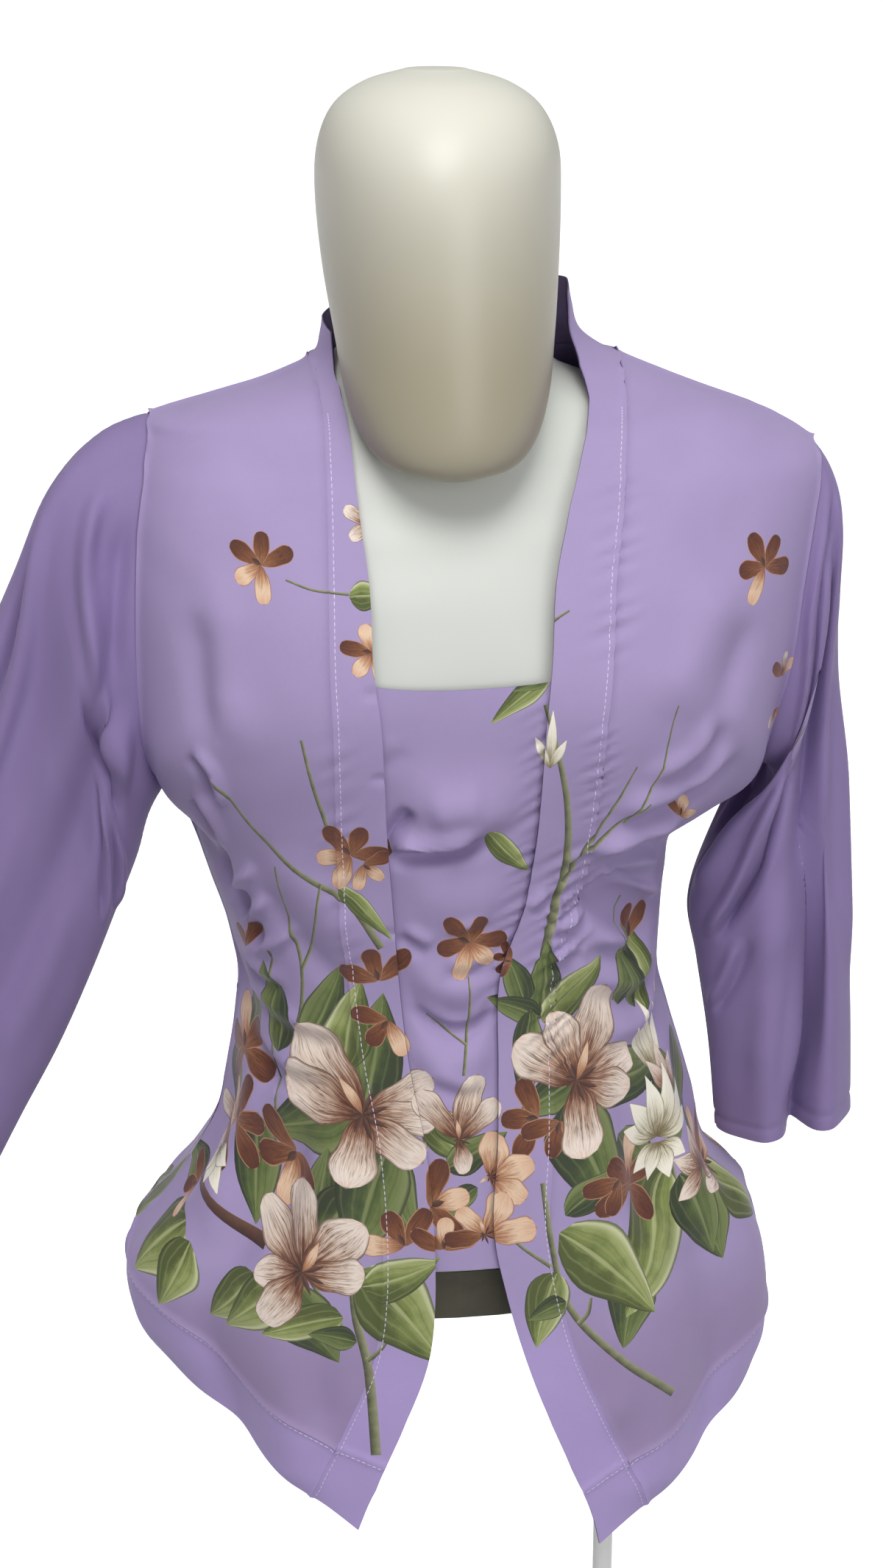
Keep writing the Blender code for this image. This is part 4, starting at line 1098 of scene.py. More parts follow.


def crepe(name, colour_of):
    """Crepe: a fine crinkled weave with a soft lustre. colour_of gives its colour's socket."""
    paint = Paint(name, Specular_IOR_Level=0.32)
    paint.set(Sheen_Weight=0.22, Sheen_Roughness=0.45, Sheen_Tint=SHEEN_LILAC)
    across, along, flat = paint.uv("cloth")
    slub = paint.noise(paint.vector(across * 8.0, along), 320.0, 2.0)
    cloud = paint.noise(flat, 22.0, 4.0)
    weft, warp = ((way * (2 * math.pi / YARN)).sine() for way in (across, along))
    crinkle = paint.noise(flat, 900.0, 3.0)
    paint.bump(weft * warp + crinkle * 1.6 + slub, distance=0.00006, strength=0.55)
    shade = cloud * 0.14 + slub * 0.08 + 0.89
    colour = paint.mix(1.0, colour_of(paint), paint.vector(shade, shade, shade), "MULTIPLY")
    paint.set(Roughness=slub * 0.16 + 0.50, Base_Color=colour)
    return paint.material


def petal_colour(stops, vein, edge, vein_reach):
    """A watercolour petal: streaks from its base, fine veins that fade and a thin edge."""

    def colour_of(paint):
        along, across, _ = paint.uv("print")
        place, height, flat = paint.uv("cloth")
        own = (place + height) * 14.0
        reach = along * 0.8
        streak = paint.noise(paint.vector(across * 5.0, reach, own), 1.7, 4.0, roughness=0.7)
        blot = paint.noise(flat, 130.0, 3.0)
        stained = along + ((streak - 0.5) * 1.1 + (blot - 0.5) * 0.25)
        finer = paint.noise(paint.vector(across * 9.0, reach, own), 2.0, 2.0)
        lines = abs(finer - 0.5).between(0.055, 0.012)
        fading = stained.between(vein_reach, vein_reach - 0.5)
        veined = paint.mix(lines * fading * 0.85, paint.ramp(stained, stops), vein)
        rim, tip = abs(across).between(0.86, 0.99), along.between(0.962, 0.995)
        return paint.mix(rim.maths("MAXIMUM", tip) * 0.88, veined, edge)

    return colour_of


def leaf_colour(dark, middle, light, vein, edge, outline):
    """A leaf with one half in shade, long veins, a pale midrib, a lit edge and a dark outline."""

    def colour_of(paint):
        along, across, _ = paint.uv("print")
        _, _, flat = paint.uv("cloth")
        blot = paint.noise(flat, 60.0, 4.0, roughness=0.6)
        side = across + (blot - 0.5) * 1.6 + (along - 0.45) * 0.9
        base = paint.mix(side.between(-0.60, 0.20), dark, middle)
        base = paint.mix(side.between(0.05, 0.75) * 0.85, base, light)
        fan = across * (along * 1.2 + 3.0) + paint.noise(flat, 45.0, 2.0) * 1.2
        ribs = (fan * (2 * math.pi / 1.3)).sine()
        lit = paint.mix(ribs.between(0.60, 0.98) * 0.18, base, vein)
        veined = paint.mix(ribs.between(-0.66, -0.99) * 0.30, lit, dark)
        width = abs(across)
        veined = paint.mix(width.between(0.085, 0.03) * 0.7, veined, vein)
        pale = paint.mix(across.between(0.66, 0.86) * 0.75, veined, edge)
        return paint.mix(width.between(0.86, 0.96) * 0.80, pale, outline)

    return colour_of


def stem_colour(dark, middle, light):
    """A stem that is lit from one side, in an uneven wash."""

    def colour_of(paint):
        _, across, _ = paint.uv("print")
        _, _, flat = paint.uv("cloth")
        side = across * 0.5 + 0.5 + (paint.noise(flat, 160.0, 2.0) - 0.5) * 0.6
        return paint.ramp(side, ((0.0, dark), (0.45, middle), (1.0, light)))

    return colour_of


def plain(colour, shade_and_hem_tone=None):
    """A plain colour, and the one it turns to low down: painted shade where the peplum is a single
    layer, the hem's own tone on the bands.
    """

    def colour_of(paint):
        _, height, flat = paint.uv("cloth")
        faded = tuple(channel * 0.90 for channel in colour[:3]) + (1.0,)
        tone = paint.mix(paint.noise(flat, 7.0, 2.0), faded, colour)
        if shade_and_hem_tone is None:
            return tone
        edge = height + paint.noise(flat, 12.0, 2.0) * 0.06
        return paint.mix(edge.between(SHADE_AND_HEM_HEIGHT + 0.05, SHADE_AND_HEM_HEIGHT - 0.02), tone, shade_and_hem_tone)

    return colour_of


# Petals: stops of (place, red, green, blue) along them, veins, edge and how far the veins reach.
PETAL_COLOURS = {
    "cream": (
        ((0.00, 56, 28, 20), (0.16, 106, 64, 46), (0.34, 170, 132, 108), (0.56, 222, 200, 182),
         (0.90, 242, 228, 216), (1.00, 226, 202, 186)),
        (92, 54, 38), (96, 66, 50), 1.0,
    ),
    "white": (
        ((0.00, 84, 72, 44), (0.14, 150, 138, 104), (0.34, 226, 219, 194), (0.70, 253, 248, 232),
         (1.00, 248, 241, 222)),
        (128, 112, 78), (122, 114, 92), 0.6,
    ),
    "peach": (
        ((0.00, 124, 74, 50), (0.28, 192, 144, 108), (0.62, 234, 204, 174), (1.00, 216, 172, 142)),
        (150, 90, 66), (146, 90, 70), 0.7,
    ),
    "brown": (
        ((0.00, 164, 116, 84), (0.30, 134, 84, 54), (0.70, 106, 60, 40), (1.00, 80, 44, 32)),
        (60, 30, 22), (196, 150, 120), 1.1,
    ),
}
# Leaves: their dark, middle and light greens, vein, edge and outline.
LEAF_COLOURS = {
    "leaf": (
        (78, 88, 44), (124, 136, 74), (160, 168, 108),
        (180, 186, 132), (212, 214, 172), (58, 66, 38),
    ),
    "shade leaf": (
        (48, 58, 36), (84, 98, 52), (114, 126, 74),
        (134, 142, 94), (128, 138, 92), (40, 46, 30),
    ),
}
STEM_COLOURS = {
    "stem": ((62, 64, 46), (116, 118, 88), (160, 160, 128)),
    "bark": ((58, 38, 34), (82, 54, 44), (108, 76, 60)),
}


def make_kinds():
    """The materials of the printed motifs."""
    colours = {}
    for kind, (stops, vein, edge, reach) in PETAL_COLOURS.items():
        stops = [(place, srgb(*colour)) for place, *colour in stops]
        colours[kind] = petal_colour(stops, srgb(*vein), srgb(*edge), reach)
    for make, table in ((leaf_colour, LEAF_COLOURS), (stem_colour, STEM_COLOURS)):
        for kind, tones in table.items():
            colours[kind] = make(*(srgb(*tone) for tone in tones))
    return {kind: crepe(f"print {kind}", colours[kind]) for kind in PRINT_SLOTS}


def make_cloths():
    """Each cloth as its outer material, the motifs' materials and its inner one, painted in shade.
    """
    kinds, shaded_inside = make_kinds(), crepe("crepe inside", plain(SHADED_INSIDE_LILAC))
    grounds = {
        "lilac": plain(LILAC, SHADED_LILAC),
        "band": plain(LILAC, HEM_LILAC),
        "sleeve": plain(LILAC),
        "hem": plain(HEM_LILAC),
    }
    return {name: (crepe(f"{name} crepe", grounds[name]), kinds, shaded_inside) for name in grounds}


def make_ivory(name, low, high, heights):
    """Semi-gloss moulded plastic that changes from low to high between two heights."""
    paint = Paint(name, Specular_IOR_Level=0.5, Coat_Weight=0.12, Coat_Roughness=0.34)
    place = paint.place()
    _, _, height = paint.split(place)
    dust = paint.noise(place, 240.0, 2.0)
    tone = paint.mix(height.between(*heights), low, high)
    stain = paint.mix(paint.noise(place, 5.0, 3.0), (0.96, 0.955, 0.94, 1.0), (1.0, 1.0, 1.0, 1.0))
    paint.set(Base_Color=paint.mix(1.0, tone, stain, "MULTIPLY"), Roughness=dust * 0.08 + 0.40)
    paint.bump(paint.noise(place, 18.0, 2.0) + dust * 0.02, distance=0.0006, strength=0.35)
    return paint.material


def make_grained(name, light, dark, roughness, scale, metallic=0.0, specular=0.5):
    """A painted or moulded surface with fine grain and faint wear."""
    paint = Paint(name, Metallic=metallic, Specular_IOR_Level=specular)
    place = paint.place()
    grain = paint.noise(place, scale, 4.0)
    wear = paint.noise(place, scale / 12.0, 5.0).between(0.45, 0.7)
    paint.set(Base_Color=paint.mix(wear, light, dark), Roughness=grain * 0.12 + roughness)
    paint.bump(grain, distance=0.0002, strength=0.3)
    return paint.material


def make_thread_material():
    """Pale sewing thread, twisted."""
    paint = Paint("pale thread", Specular_IOR_Level=0.3, Sheen_Weight=0.3)
    twist = paint.noise(paint.place(), 2500.0, 2.0)
    colour = paint.mix(twist, srgb(206, 195, 228), srgb(240, 234, 250))
    paint.set(Base_Color=colour, Roughness=twist * 0.1 + 0.6)
    paint.bump(twist, distance=0.00005, strength=0.5)
    return paint.material


# ---------------------------------------------------------------- the print
# Lengths are in millimetres. Places are (girth from the centre front, height), and headings are in
# degrees from +girth.
STEMS = (
    # kind, path, start width, end width
    ("stem", ((-94, 788), (-87, 758), (-76, 722)), 1.8, 2.8),
    ("stem", ((-150, 760), (-128, 727), (-94, 699), (-66, 682), (-47, 652)), 1.4, 5),
    ("stem", ((-112, 702), (-108, 664), (-99, 630), (-101, 595)), 1.5, 3.2),
    ("stem", ((-83, 694), (-88, 662), (-99, 630)), 1.4, 2.4),
    ("stem", ((-100, 876), (-84, 871), (-64, 869)), 1.3, 1.6),
    ("stem", ((47, 806), (56, 771), (62, 738), (63, 700), (55, 660), (47, 610)), 2.2, 7),
    ("stem", ((104, 764), (90, 738), (74, 712), (63, 690)), 1.3, 3.4),
    ("stem", ((112, 741), (94, 727), (76, 712)), 1.3, 2.6),
    ("stem", ((128, 800), (120, 762), (98, 727)), 1, 1.8),
    ("stem", ((45, 842), (52, 852), (62, 858)), 2.8, 1.2),
    ("stem", ((-52, 512), (-66, 470), (-67, 425), (-59, 385), (-55, 326)), 3.4, 6.6),
    ("stem", ((-60, 392), (-51, 400), (-44, 412)), 3.4, 1.8),
    ("stem", ((-94, 444), (-82, 425), (-69, 404)), 2.2, 3.6),
    # This thick dark stem at the right hip is painted shadow, drawn where a fold's pocket of shade
    # lies.
    ("bark", ((-190, 477), (-160, 465), (-128, 458)), 5, 9),
    ("stem", ((50, 500), (55, 462), (64, 424), (88, 392), (136, 349)), 3.2, 5.4),
    ("stem", ((72, 408), (78, 414), (80, 424)), 3.6, 2),
    ("stem", ((22, 477), (36, 462), (55, 447)), 1.4, 2.6),
    ("stem", ((150, 500), (158, 468), (166, 440)), 1.8, 3),
    ("stem", ((118, 660), (112, 628), (108, 600)), 1.8, 2.6),
    ("stem", ((6, 632), (6, 605), (2, 570)), 1.2, 2.2),
    ("stem", ((-20, 606), (-6, 596), (4, 588)), 1, 1.8),
    ("stem", ((-121, 640), (-126, 590), (-120, 520), (-110, 480)), 2, 3.4),
)
LEAVES = (
    # kind, base, heading, length, width, bend
    ("shade leaf", (-60, 545), 74, 78, 36, 0.10),
    ("shade leaf", (-64, 548), 206, 70, 40, -0.12),
    ("shade leaf", (-56, 530), -72, 66, 34, 0.12),
    ("shade leaf", (-138, 530), 262, 64, 34, 0.12),
    ("shade leaf", (-150, 600), 250, 60, 24, -0.10),
    ("shade leaf", (-176, 560), 264, 56, 30, 0.10),
    ("shade leaf", (-100, 446), 70, 78, 40, 0.12),
    ("shade leaf", (-110, 440), -64, 60, 36, 0.12),
    ("leaf", (-132, 440), 232, 50, 30, -0.12),
    ("shade leaf", (-62, 500), 228, 56, 30, 0.10),
    ("shade leaf", (76, 560), 196, 44, 26, 0.12),
    ("shade leaf", (78, 556), -8, 78, 34, 0.12),
    ("shade leaf", (112, 596), 76, 58, 24, -0.10),
    ("shade leaf", (104, 520), 304, 60, 36, 0.12),
    ("shade leaf", (150, 560), 270, 64, 28, 0.10),
    ("shade leaf", (186, 560), 266, 70, 34, -0.10),
    ("shade leaf", (112, 440), 250, 52, 30, 0.12),
    ("shade leaf", (172, 470), 282, 52, 32, 0.12),
    ("leaf", (-21, 545), -54, 42, 22, 0.12),
    ("leaf", (-73, 693), -42, 48, 11, -0.10),
    ("shade leaf", (-119, 572), 96, 58, 27, 0.10),
    ("shade leaf", (-96, 580), 62, 62, 26, 0.10),
    ("leaf", (-72, 570), 84, 60, 30, -0.10),
    ("shade leaf", (-44, 528), 246, 74, 44, 0.12),
    ("leaf", (-99, 442), 208, 66, 32, 0.14),
    ("leaf", (-74, 420), 186, 52, 23, 0.16),
    ("shade leaf", (-66, 404), 166, 30, 16, 0.10),
    ("leaf", (-64, 450), -42, 78, 46, -0.14),
    ("leaf", (-62, 440), 8, 50, 26, 0.20),
    ("leaf", (-190, 452), 214, 50, 36, 0.16),
    ("leaf", (-184, 444), 250, 46, 28, -0.12),
    ("shade leaf", (-200, 470), 160, 36, 22, 0.10),
    ("leaf", (-64, 868), 2, 24, 15, 0.00),
    ("leaf", (50, 822), 212, 44, 13, 0.12),
    ("shade leaf", (49, 820), 196, 22, 6, 0.0),
    ("leaf", (15, 727), -54, 40, 14, 0.12),
    ("shade leaf", (50, 600), 80, 52, 22, 0.10),
    ("leaf", (52, 598), 44, 56, 24, -0.10),
    ("shade leaf", (40, 612), 104, 36, 18, 0.10),
    ("shade leaf", (50, 602), 150, 36, 16, 0.10),
    ("shade leaf", (44, 608), 262, 64, 18, 0.08),
    ("leaf", (136, 585), 84, 60, 18, 0.12),
    ("shade leaf", (128, 590), 100, 50, 14, 0.08),
    ("shade leaf", (68, 548), -74, 78, 46, 0.10),
    ("shade leaf", (64, 478), 40, 46, 20, -0.14),
    ("leaf", (150, 488), 232, 92, 50, 0.12),
    ("shade leaf", (158, 480), 300, 58, 34, -0.10),
    ("leaf", (60, 468), -34, 84, 40, -0.18),
    ("leaf", (58, 444), -112, 50, 28, 0.12),
    ("shade leaf", (64, 424), 196, 26, 14, 0.10),
    ("leaf", (190, 466), -28, 58, 30, -0.14),
    ("leaf", (-16, 548), -50, 40, 17, 0.12),
    ("shade leaf", (-10, 512), 24, 44, 20, 0.10),
    ("shade leaf", (10, 500), -150, 34, 14, 0.10),
)
BLOOMS = (
    # place, throat, pistil's heading, petals of (kind, heading, length, width)
    (
        (-60, 545), 13, 118,
        (("cream", 128, 66, 52), ("cream", 168, 58, 50), ("cream", 24, 50, 30),
         ("cream", 2, 46, 32), ("cream", -42, 46, 36), ("cream", 262, 46, 42)),
    ),
    (
        (-98, 447), 11, 52,
        (("cream", 92, 54, 42), ("cream", 140, 52, 36), ("cream", 186, 36, 26),
         ("cream", 44, 50, 40), ("cream", -6, 38, 34), ("cream", 236, 42, 36)),
    ),
    (
        (74, 559), 12, 60,
        (("cream", 64, 60, 48), ("cream", 150, 50, 40), ("cream", 104, 48, 34),
         ("cream", 12, 48, 36), ("cream", -24, 44, 34), ("cream", 278, 48, 42)),
    ),
    (
        (-1, 530), 6, 88,
        (("cream", 128, 40, 24), ("cream", 78, 42, 26), ("cream", 38, 34, 20),
         ("cream", 282, 22, 18)),
    ),
    (
        (206, 470), 8, 130,
        (("cream", 150, 36, 22), ("peach", 110, 38, 22), ("brown", 60, 34, 20),
         ("cream", 200, 28, 20), ("peach", 20, 30, 20)),
    ),
    (
        (18, 506), 4, 200,
        (("peach", 80, 28, 26), ("peach", 20, 28, 26), ("peach", -40, 26, 24)),
    ),
    (
        (14, 470), 5, 100,
        (("peach", 60, 30, 24), ("peach", 10, 32, 26), ("peach", 130, 24, 18),
         ("brown", 190, 26, 18)),
    ),
)
SPIRES = (
    # kind, place, breadth of a petal, then headings, lengths of narrow petals
    ("white", (144, 546), 10, ((58, 36), (122, 40), (76, 54), (104, 50), (90, 44))),
    ("cream", (150, 532), 12, ((50, 26), (84, 30), (118, 26))),
    ("white", (142, 508), 14, ((18, 30), (160, 32), (46, 38), (134, 38), (76, 43), (106, 42))),
    ("white", (144, 504), 13, ((-34, 22), (212, 26), (-72, 26), (246, 24))),
    ("white", (-178, 496), 15, ((-58, 26), (-96, 22), (-134, 24), (-20, 18))),
    ("cream", (178, 476), 14, ((30, 26), (150, 28), (68, 32), (108, 32), (-24, 22), (206, 24))),
    ("white", (50, 768), 6, ((88, 36), (62, 20), (116, 20))),
)
SMALL_FLOWERS = (
    # place, heading, size, petals from the heading outwards
    ((-114, 883), 148, 21, "bbbpp"),
    ((-52, 838), 168, 19, "bpbpp"),
    ((-50, 906), 214, 17, "ccp"),
    ((-66, 714), 128, 24, "bbbpp"),
    ((-58, 708), -40, 18, "ppb"),
    ((190, 871), 118, 23, "bbbbp"),
    ((222, 800), 84, 18, "pcb"),
    ((228, 776), 264, 18, "ccp"),
    ((6, 653), 160, 24, "bbbbpp"),
    ((31, 641), 170, 12, "bbb"),
    ((-49, 630), 106, 26, "bbb"),
    ((-43, 604), 232, 24, "bbp"),
    ((-164, 560), 112, 34, "bbpbb"),
    ((-158, 520), 70, 30, "bbbpp"),
    ((-150, 632), 96, 20, "bb"),
    ((-178, 512), 236, 30, "ccb"),
    ((-112, 512), 222, 32, "bbpb"),
    ((-204, 468), 200, 20, "bbp"),
    ((48, 540), 176, 28, "bbb"),
    ((62, 536), 252, 26, "bbp"),
    ((112, 488), 76, 32, "bbpbb"),
    ((100, 494), 218, 26, "bb"),
    ((136, 634), 84, 22, "bb"),
    ((-20, 490), 12, 30, "bpb"),
    ((-36, 466), 118, 28, "bbp"),
    ((-12, 462), 84, 24, "bpb"),
    ((142, 722), 60, 14, "ppb"),
)
LEAF_BREADTH = 1.16  # drawn this much wider than the table says
BACK_REPEATS = (-130, 150)  # how far round the back's trunk the front's print is repeated
SLEEVE_STEMS = {
    # thin stems in the sleeves' own flat places: kind, path, start width, end width
    "r": (
        ("stem", ((40, 300), (52, 250), (48, 200)), 2.8, 1.2),
        ("stem", ((52, 262), (64, 236), (70, 206)), 1.8, 1),
        ("stem", ((-60, 330), (-70, 270), (-62, 200)), 3, 1.2),
    ),
    "l": (
        ("stem", ((56, 210), (76, 140), (100, 92), (112, 50)), 4, 2),
        ("stem", ((55, 150), (42, 118), (40, 92)), 1.8, 1),
        ("stem", ((32, 86), (34, 50), (26, 20)), 2.6, 1.4),
        ("stem", ((-60, 330), (-70, 270), (-62, 200)), 3, 1.2),
    ),
}


def draw_stems(rows):
    """Stems from a table."""
    return [stem(kind, metres(path), metres((start, end))) for kind, path, start, end in rows]


def draw_print():
    """The flowers, leaves and stems round the front, back ones first."""
    motifs = draw_stems(STEMS)
    for kind, base, heading, length, width, bend in LEAVES:
        length, width = metres(length), LEAF_BREADTH * metres(width)
        motifs.append(blade(kind, "leaf", metres(base), heading, length, width, bend, LEAF_RIPPLE))
    for place, heading, size, letters in SMALL_FLOWERS:
        motifs += small_flower(metres(place), heading, metres(size), letters)
    for place, throat, pistil, petals in BLOOMS:
        petals = [(kind, heading, *metres(lengths)) for kind, heading, *lengths in petals]
        motifs += bloom(metres(place), petals, metres(throat), pistil)
    for kind, place, breadth, petals in SPIRES:
        for heading, length in petals:
            sizes = (heading, metres(length), metres(breadth))
            motifs.append(blade(kind, "lance", metres(place), *sizes))
    return motifs


def raised(motif):
    """A motif whose heights are turned into rises, which part only near the shoulders."""
    height = motif.outline.mean(axis=0)[1]
    heights = curve(column(BODY_RINGS, 0), LEVELS)
    return shifted(motif, np.array([0.0, np.interp(height, heights, FRONT.rise) - height]))


# ---------------------------------------------------------------- creases by place
# In millimetres: form, half width, height, path. Fronts: (girth from the centre front, rise).
# Left of a "fold" stands its lip. A "sag" is a fold whose lip hangs over its valley.
FRONT_CREASES = (
    ("fold", 4.4, 4.2, ((-168, 770), (-157, 760), (-154, 734))),
    ("sag", 5, 3, ((-176, 740), (-165, 722), (-160, 700))),
    ("soft", 7, -5.2, ((-158, 704), (-166, 684), (-164, 668))),
    ("soft", 7, -5.2, ((-156, 677), (-151, 663), (-148, 650))),
    ("soft", 7, -4.6, ((-144, 654), (-138, 643), (-131, 634))),
    ("soft", 4.4, 3.6, ((-164, 668), (-142, 683), (-128, 700))),
    ("soft", 4.4, 3.6, ((-154, 648), (-140, 657), (-120, 678))),
    ("soft", 4.4, 3.6, ((-154, 628), (-121, 643), (-96, 664))),
    ("sag", 6, 2.6, ((-108, 612), (-138, 610), (-168, 620))),
    ("soft", 12, -3, ((-156, 860), (-158, 820), (-150, 775))),
    ("soft", 14, 2.4, ((-138, 880), (-142, 820), (-138, 780))),
    ("soft", 16, 3, ((-55, 640), (-85, 680), (-125, 716))),
    ("soft", 10, -2.4, ((-60, 615), (-96, 646), (-132, 690))),
    ("sag", 6, 2.2, ((-62, 586), (-110, 585), (-160, 598))),
    ("sag", 7, 2.4, ((-70, 560), (-120, 556), (-168, 572))),
    ("soft", 10, -3, ((-90, 545), (-110, 500), (-116, 430))),
    ("soft", 12, 3, ((-140, 560), (-160, 500), (-176, 440))),
    ("soft", 11, -3, ((-170, 560), (-196, 500), (-214, 440))),
    ("soft", 12, -2.6, ((-88, 420), (-92, 380), (-86, 330))),
    ("soft", 18, 4, ((160, 872), (140, 825), (116, 790))),
    ("soft", 12, -3, ((184, 850), (166, 806), (140, 772))),
    ("sag", 7, 4, ((168, 790), (150, 760), (110, 742))),
    ("sag", 6, 3.4, ((182, 762), (152, 736), (116, 722))),
    ("sag", 7, 6.8, ((146, 705), (118, 705), (76, 696))),
    ("sag", 6, 6, ((144, 674), (116, 682), (78, 684))),
    ("sag", 6, 4.4, ((156, 646), (112, 664), (82, 672))),
    ("sag", 6, 3.4, ((150, 640), (120, 628), (78, 640))),
    ("sag", 7, 3, ((166, 612), (126, 596), (76, 612))),
    ("sag", 7, 2.6, ((170, 586), (130, 568), (90, 574))),
    ("soft", 18, -8.6, ((78, 702), (115, 668), (156, 626))),
    ("sag", 9, 5, ((94, 718), (124, 727), (156, 744))),
    ("sag", 4.4, 4.6, ((104, 690), (96, 682), (80, 674))),
    ("sag", 3.4, 2.6, ((58, 684), (52, 677), (44, 670))),
    ("sag", 3.6, 2.8, ((86, 663), (75, 657), (60, 650))),
    ("sag", 3.4, 2.6, ((80, 640), (70, 636), (55, 631))),
    ("soft", 10, -3, ((100, 560), (118, 500), (122, 430))),
    ("soft", 13, 3.2, ((140, 560), (160, 500), (172, 430))),
    ("soft", 11, -3.2, ((170, 560), (196, 500), (210, 430))),
    ("soft", 12, 2.2, ((96, 420), (104, 370), (96, 320))),
    ("soft", 30, 1.6, ((-110, 940), (-150, 900), (-170, 860))),
    ("soft", 24, -1.8, ((120, 950), (150, 905), (186, 880))),
)
FRONT_PUCKERS = (
    # path, spacing, height, reach, start, end, then the slant
    (((83, 800), (76, 722)), 8.5, 1.5, 10, 0, 78, 0.5),
    (((72, 722), (60, 632), (58, 560)), 10, 2.7, 16, 0, 162, 0.7),
    (((98, 940), (91, 873), (85, 820)), 11, 1.3, 12, 0, 120, 0.4),
    (((-75, 800), (-70, 676), (-60, 575)), 14, 0.7, 10, 0, 220, 0.5),
)
BACK_CREASES = (
    ("sag", 7, 3.4, ((-180, 640), (-130, 620), (-80, 628))),
    ("sag", 8, 3.6, ((-178, 604), (-126, 588), (-70, 600))),
    ("sag", 7, 3, ((-172, 668), (-126, 656), (-92, 668))),
    ("sag", 7, 3.4, ((80, 632), (128, 622), (176, 646))),
    ("sag", 8, 3.4, ((66, 598), (122, 590), (176, 612))),
    ("sag", 6, 2.6, ((92, 664), (136, 658), (176, 684))),
    ("soft", 14, -3.4, ((-52, 560), (-74, 480), (-88, 400))),
    ("soft", 16, 3, ((-16, 560), (-20, 480), (-30, 410))),
    ("soft", 14, -3.4, ((40, 566), (60, 470), (68, 400))),
    ("soft", 16, 3, ((96, 560), (126, 480), (146, 410))),
    ("soft", 18, -3, ((-150, 860), (-110, 810), (-80, 740))),
    ("soft", 18, -2.8, ((146, 866), (104, 800), (74, 730))),
    ("soft", 24, 2.6, ((0, 880), (6, 800), (4, 700))),
    ("soft", 16, -2.4, ((-40, 700), (-12, 660), (22, 640))),
)
CENTRE_CREASES = (
    ("soft", 4.4, -8.8, ((-30, 744), (-38, 730), (-48, 712))),
    ("sag", 5.6, 8.6, ((-50, 708), (-16, 712), (18, 720))),
    ("soft", 11, 3, ((-22, 738), (-4, 742), (14, 744))),
    ("sag", 6, 0.8, ((-30, 780), (-38, 774), (-49, 767))),
    ("sag", 4.5, 2.6, ((-18, 646), (-30, 652), (-39, 659))),
    ("sag", 4.4, 3, ((26, 612), (8, 597), (-10, 597), (-34, 613))),
    ("soft", 9, 2.2, ((22, 590), (4, 578), (-12, 578), (-32, 594))),
    ("sag", 5, 2, ((20, 562), (2, 556), (-24, 566))),
    ("sag", 4, 2, ((20, 668), (10, 660), (-10, 656))),
    ("sag", 5, 2.4, ((24, 640), (6, 632), (-14, 634))),
)
CENTRE_PUCKERS = (
    (((46, 820), (46, 720), (38, 680), (24, 600)), 9.5, 1.2, 11, 0, 230, 0.6),
)
# Sleeves: a millimetre of girth to each degree from the shoulder's line, the front's above 0.
SLEEVE_CREASES = {
    "r": (
        ("soft", 6.2, -6.4, ((26, 18), (46, 34), (80, 37), (104, 44))),
        ("soft", 8, 4.6, ((42, 10), (84, 17), (110, 22))),
        ("fold", 7.5, 7, ((10, 30), (18, 60), (42, 105), (54, 165), (60, 230))),
        ("soft", 9.5, -12, ((98, 46), (120, 34), (146, 16))),
        ("soft", 6.2, 4.8, ((84, 66), (112, 56), (152, 44))),
        ("fold", 5, 2.8, ((118, 66), (138, 92), (160, 136))),
        ("fold", 5, 2.6, ((144, 58), (158, 84), (172, 114))),
        ("soft", 12, 3, ((84, 120), (90, 200), (96, 300))),
        ("soft", 11, -3, ((120, 140), (122, 220), (118, 330))),
        ("soft", 14, -2.6, ((60, 240), (64, 320), (60, 400))),
        ("soft", 12, 2.4, ((30, 160), (36, 240), (34, 330))),
        ("soft", 14, -3.4, ((-50, 60), (-56, 180), (-66, 320))),
        ("soft", 12, 3, ((-84, 80), (-90, 180), (-98, 300))),
        ("fold", 7, 3.4, ((-104, 40), (-132, 60), (-164, 110))),
        ("fold", 6, 3, ((-110, 100), (-140, 110), (-170, 150))),
    ),
    "l": (
        ("fold", 4.6, 4.4, ((14, 6), (33, 10), (93, 13), (156, 30))),
        ("fold", 7, 10, ((92, 110), (101, 142), (118, 178), (152, 226))),
        ("soft", 17, -7, ((130, 70), (142, 120), (158, 170))),
        ("soft", 5.6, -7.4, ((60, 150), (68, 202), (77, 260), (87, 322), (99, 400))),
        ("soft", 9, 5, ((46, 160), (53, 210), (62, 268), (72, 330), (83, 400))),
        ("soft", 15, -5, ((86, 190), (98, 250), (114, 320), (128, 400))),
        ("fold", 6, 3, ((128, 52), (146, 80), (170, 120))),
        ("soft", 10, 3.4, ((26, 80), (34, 180), (44, 300))),
        ("soft", 10, -3, ((12, 120), (16, 220), (24, 330))),
        ("fold", 6, 3, ((120, 230), (140, 270), (168, 300))),
        ("soft", 12, 3, ((96, 240), (116, 310), (132, 390))),
        ("soft", 14, -3.4, ((-50, 60), (-56, 180), (-60, 320))),
        ("soft", 12, 3, ((-84, 80), (-90, 180), (-92, 300))),
        ("fold", 7, 3.4, ((-104, 40), (-132, 60), (-164, 110))),
    ),
}


def creases_of(rows, strength):
    """The creases of a table. A sag's line is turned to run rightwards, with its lip above it."""
    creases = []
    for form, width, height, path in rows:
        if form == "sag" and path[-1][0] < path[0][0]:
            path = path[::-1]
        form = "fold" if form == "sag" else form
        creases.append(Crease(form, metres(width), metres(height) * strength, metres(path)))
    return creases


def puckers_of(rows):
    """Rows of puckers from a table."""
    return [Pucker(metres(path), *metres(lengths), slant) for path, *lengths, slant in rows]


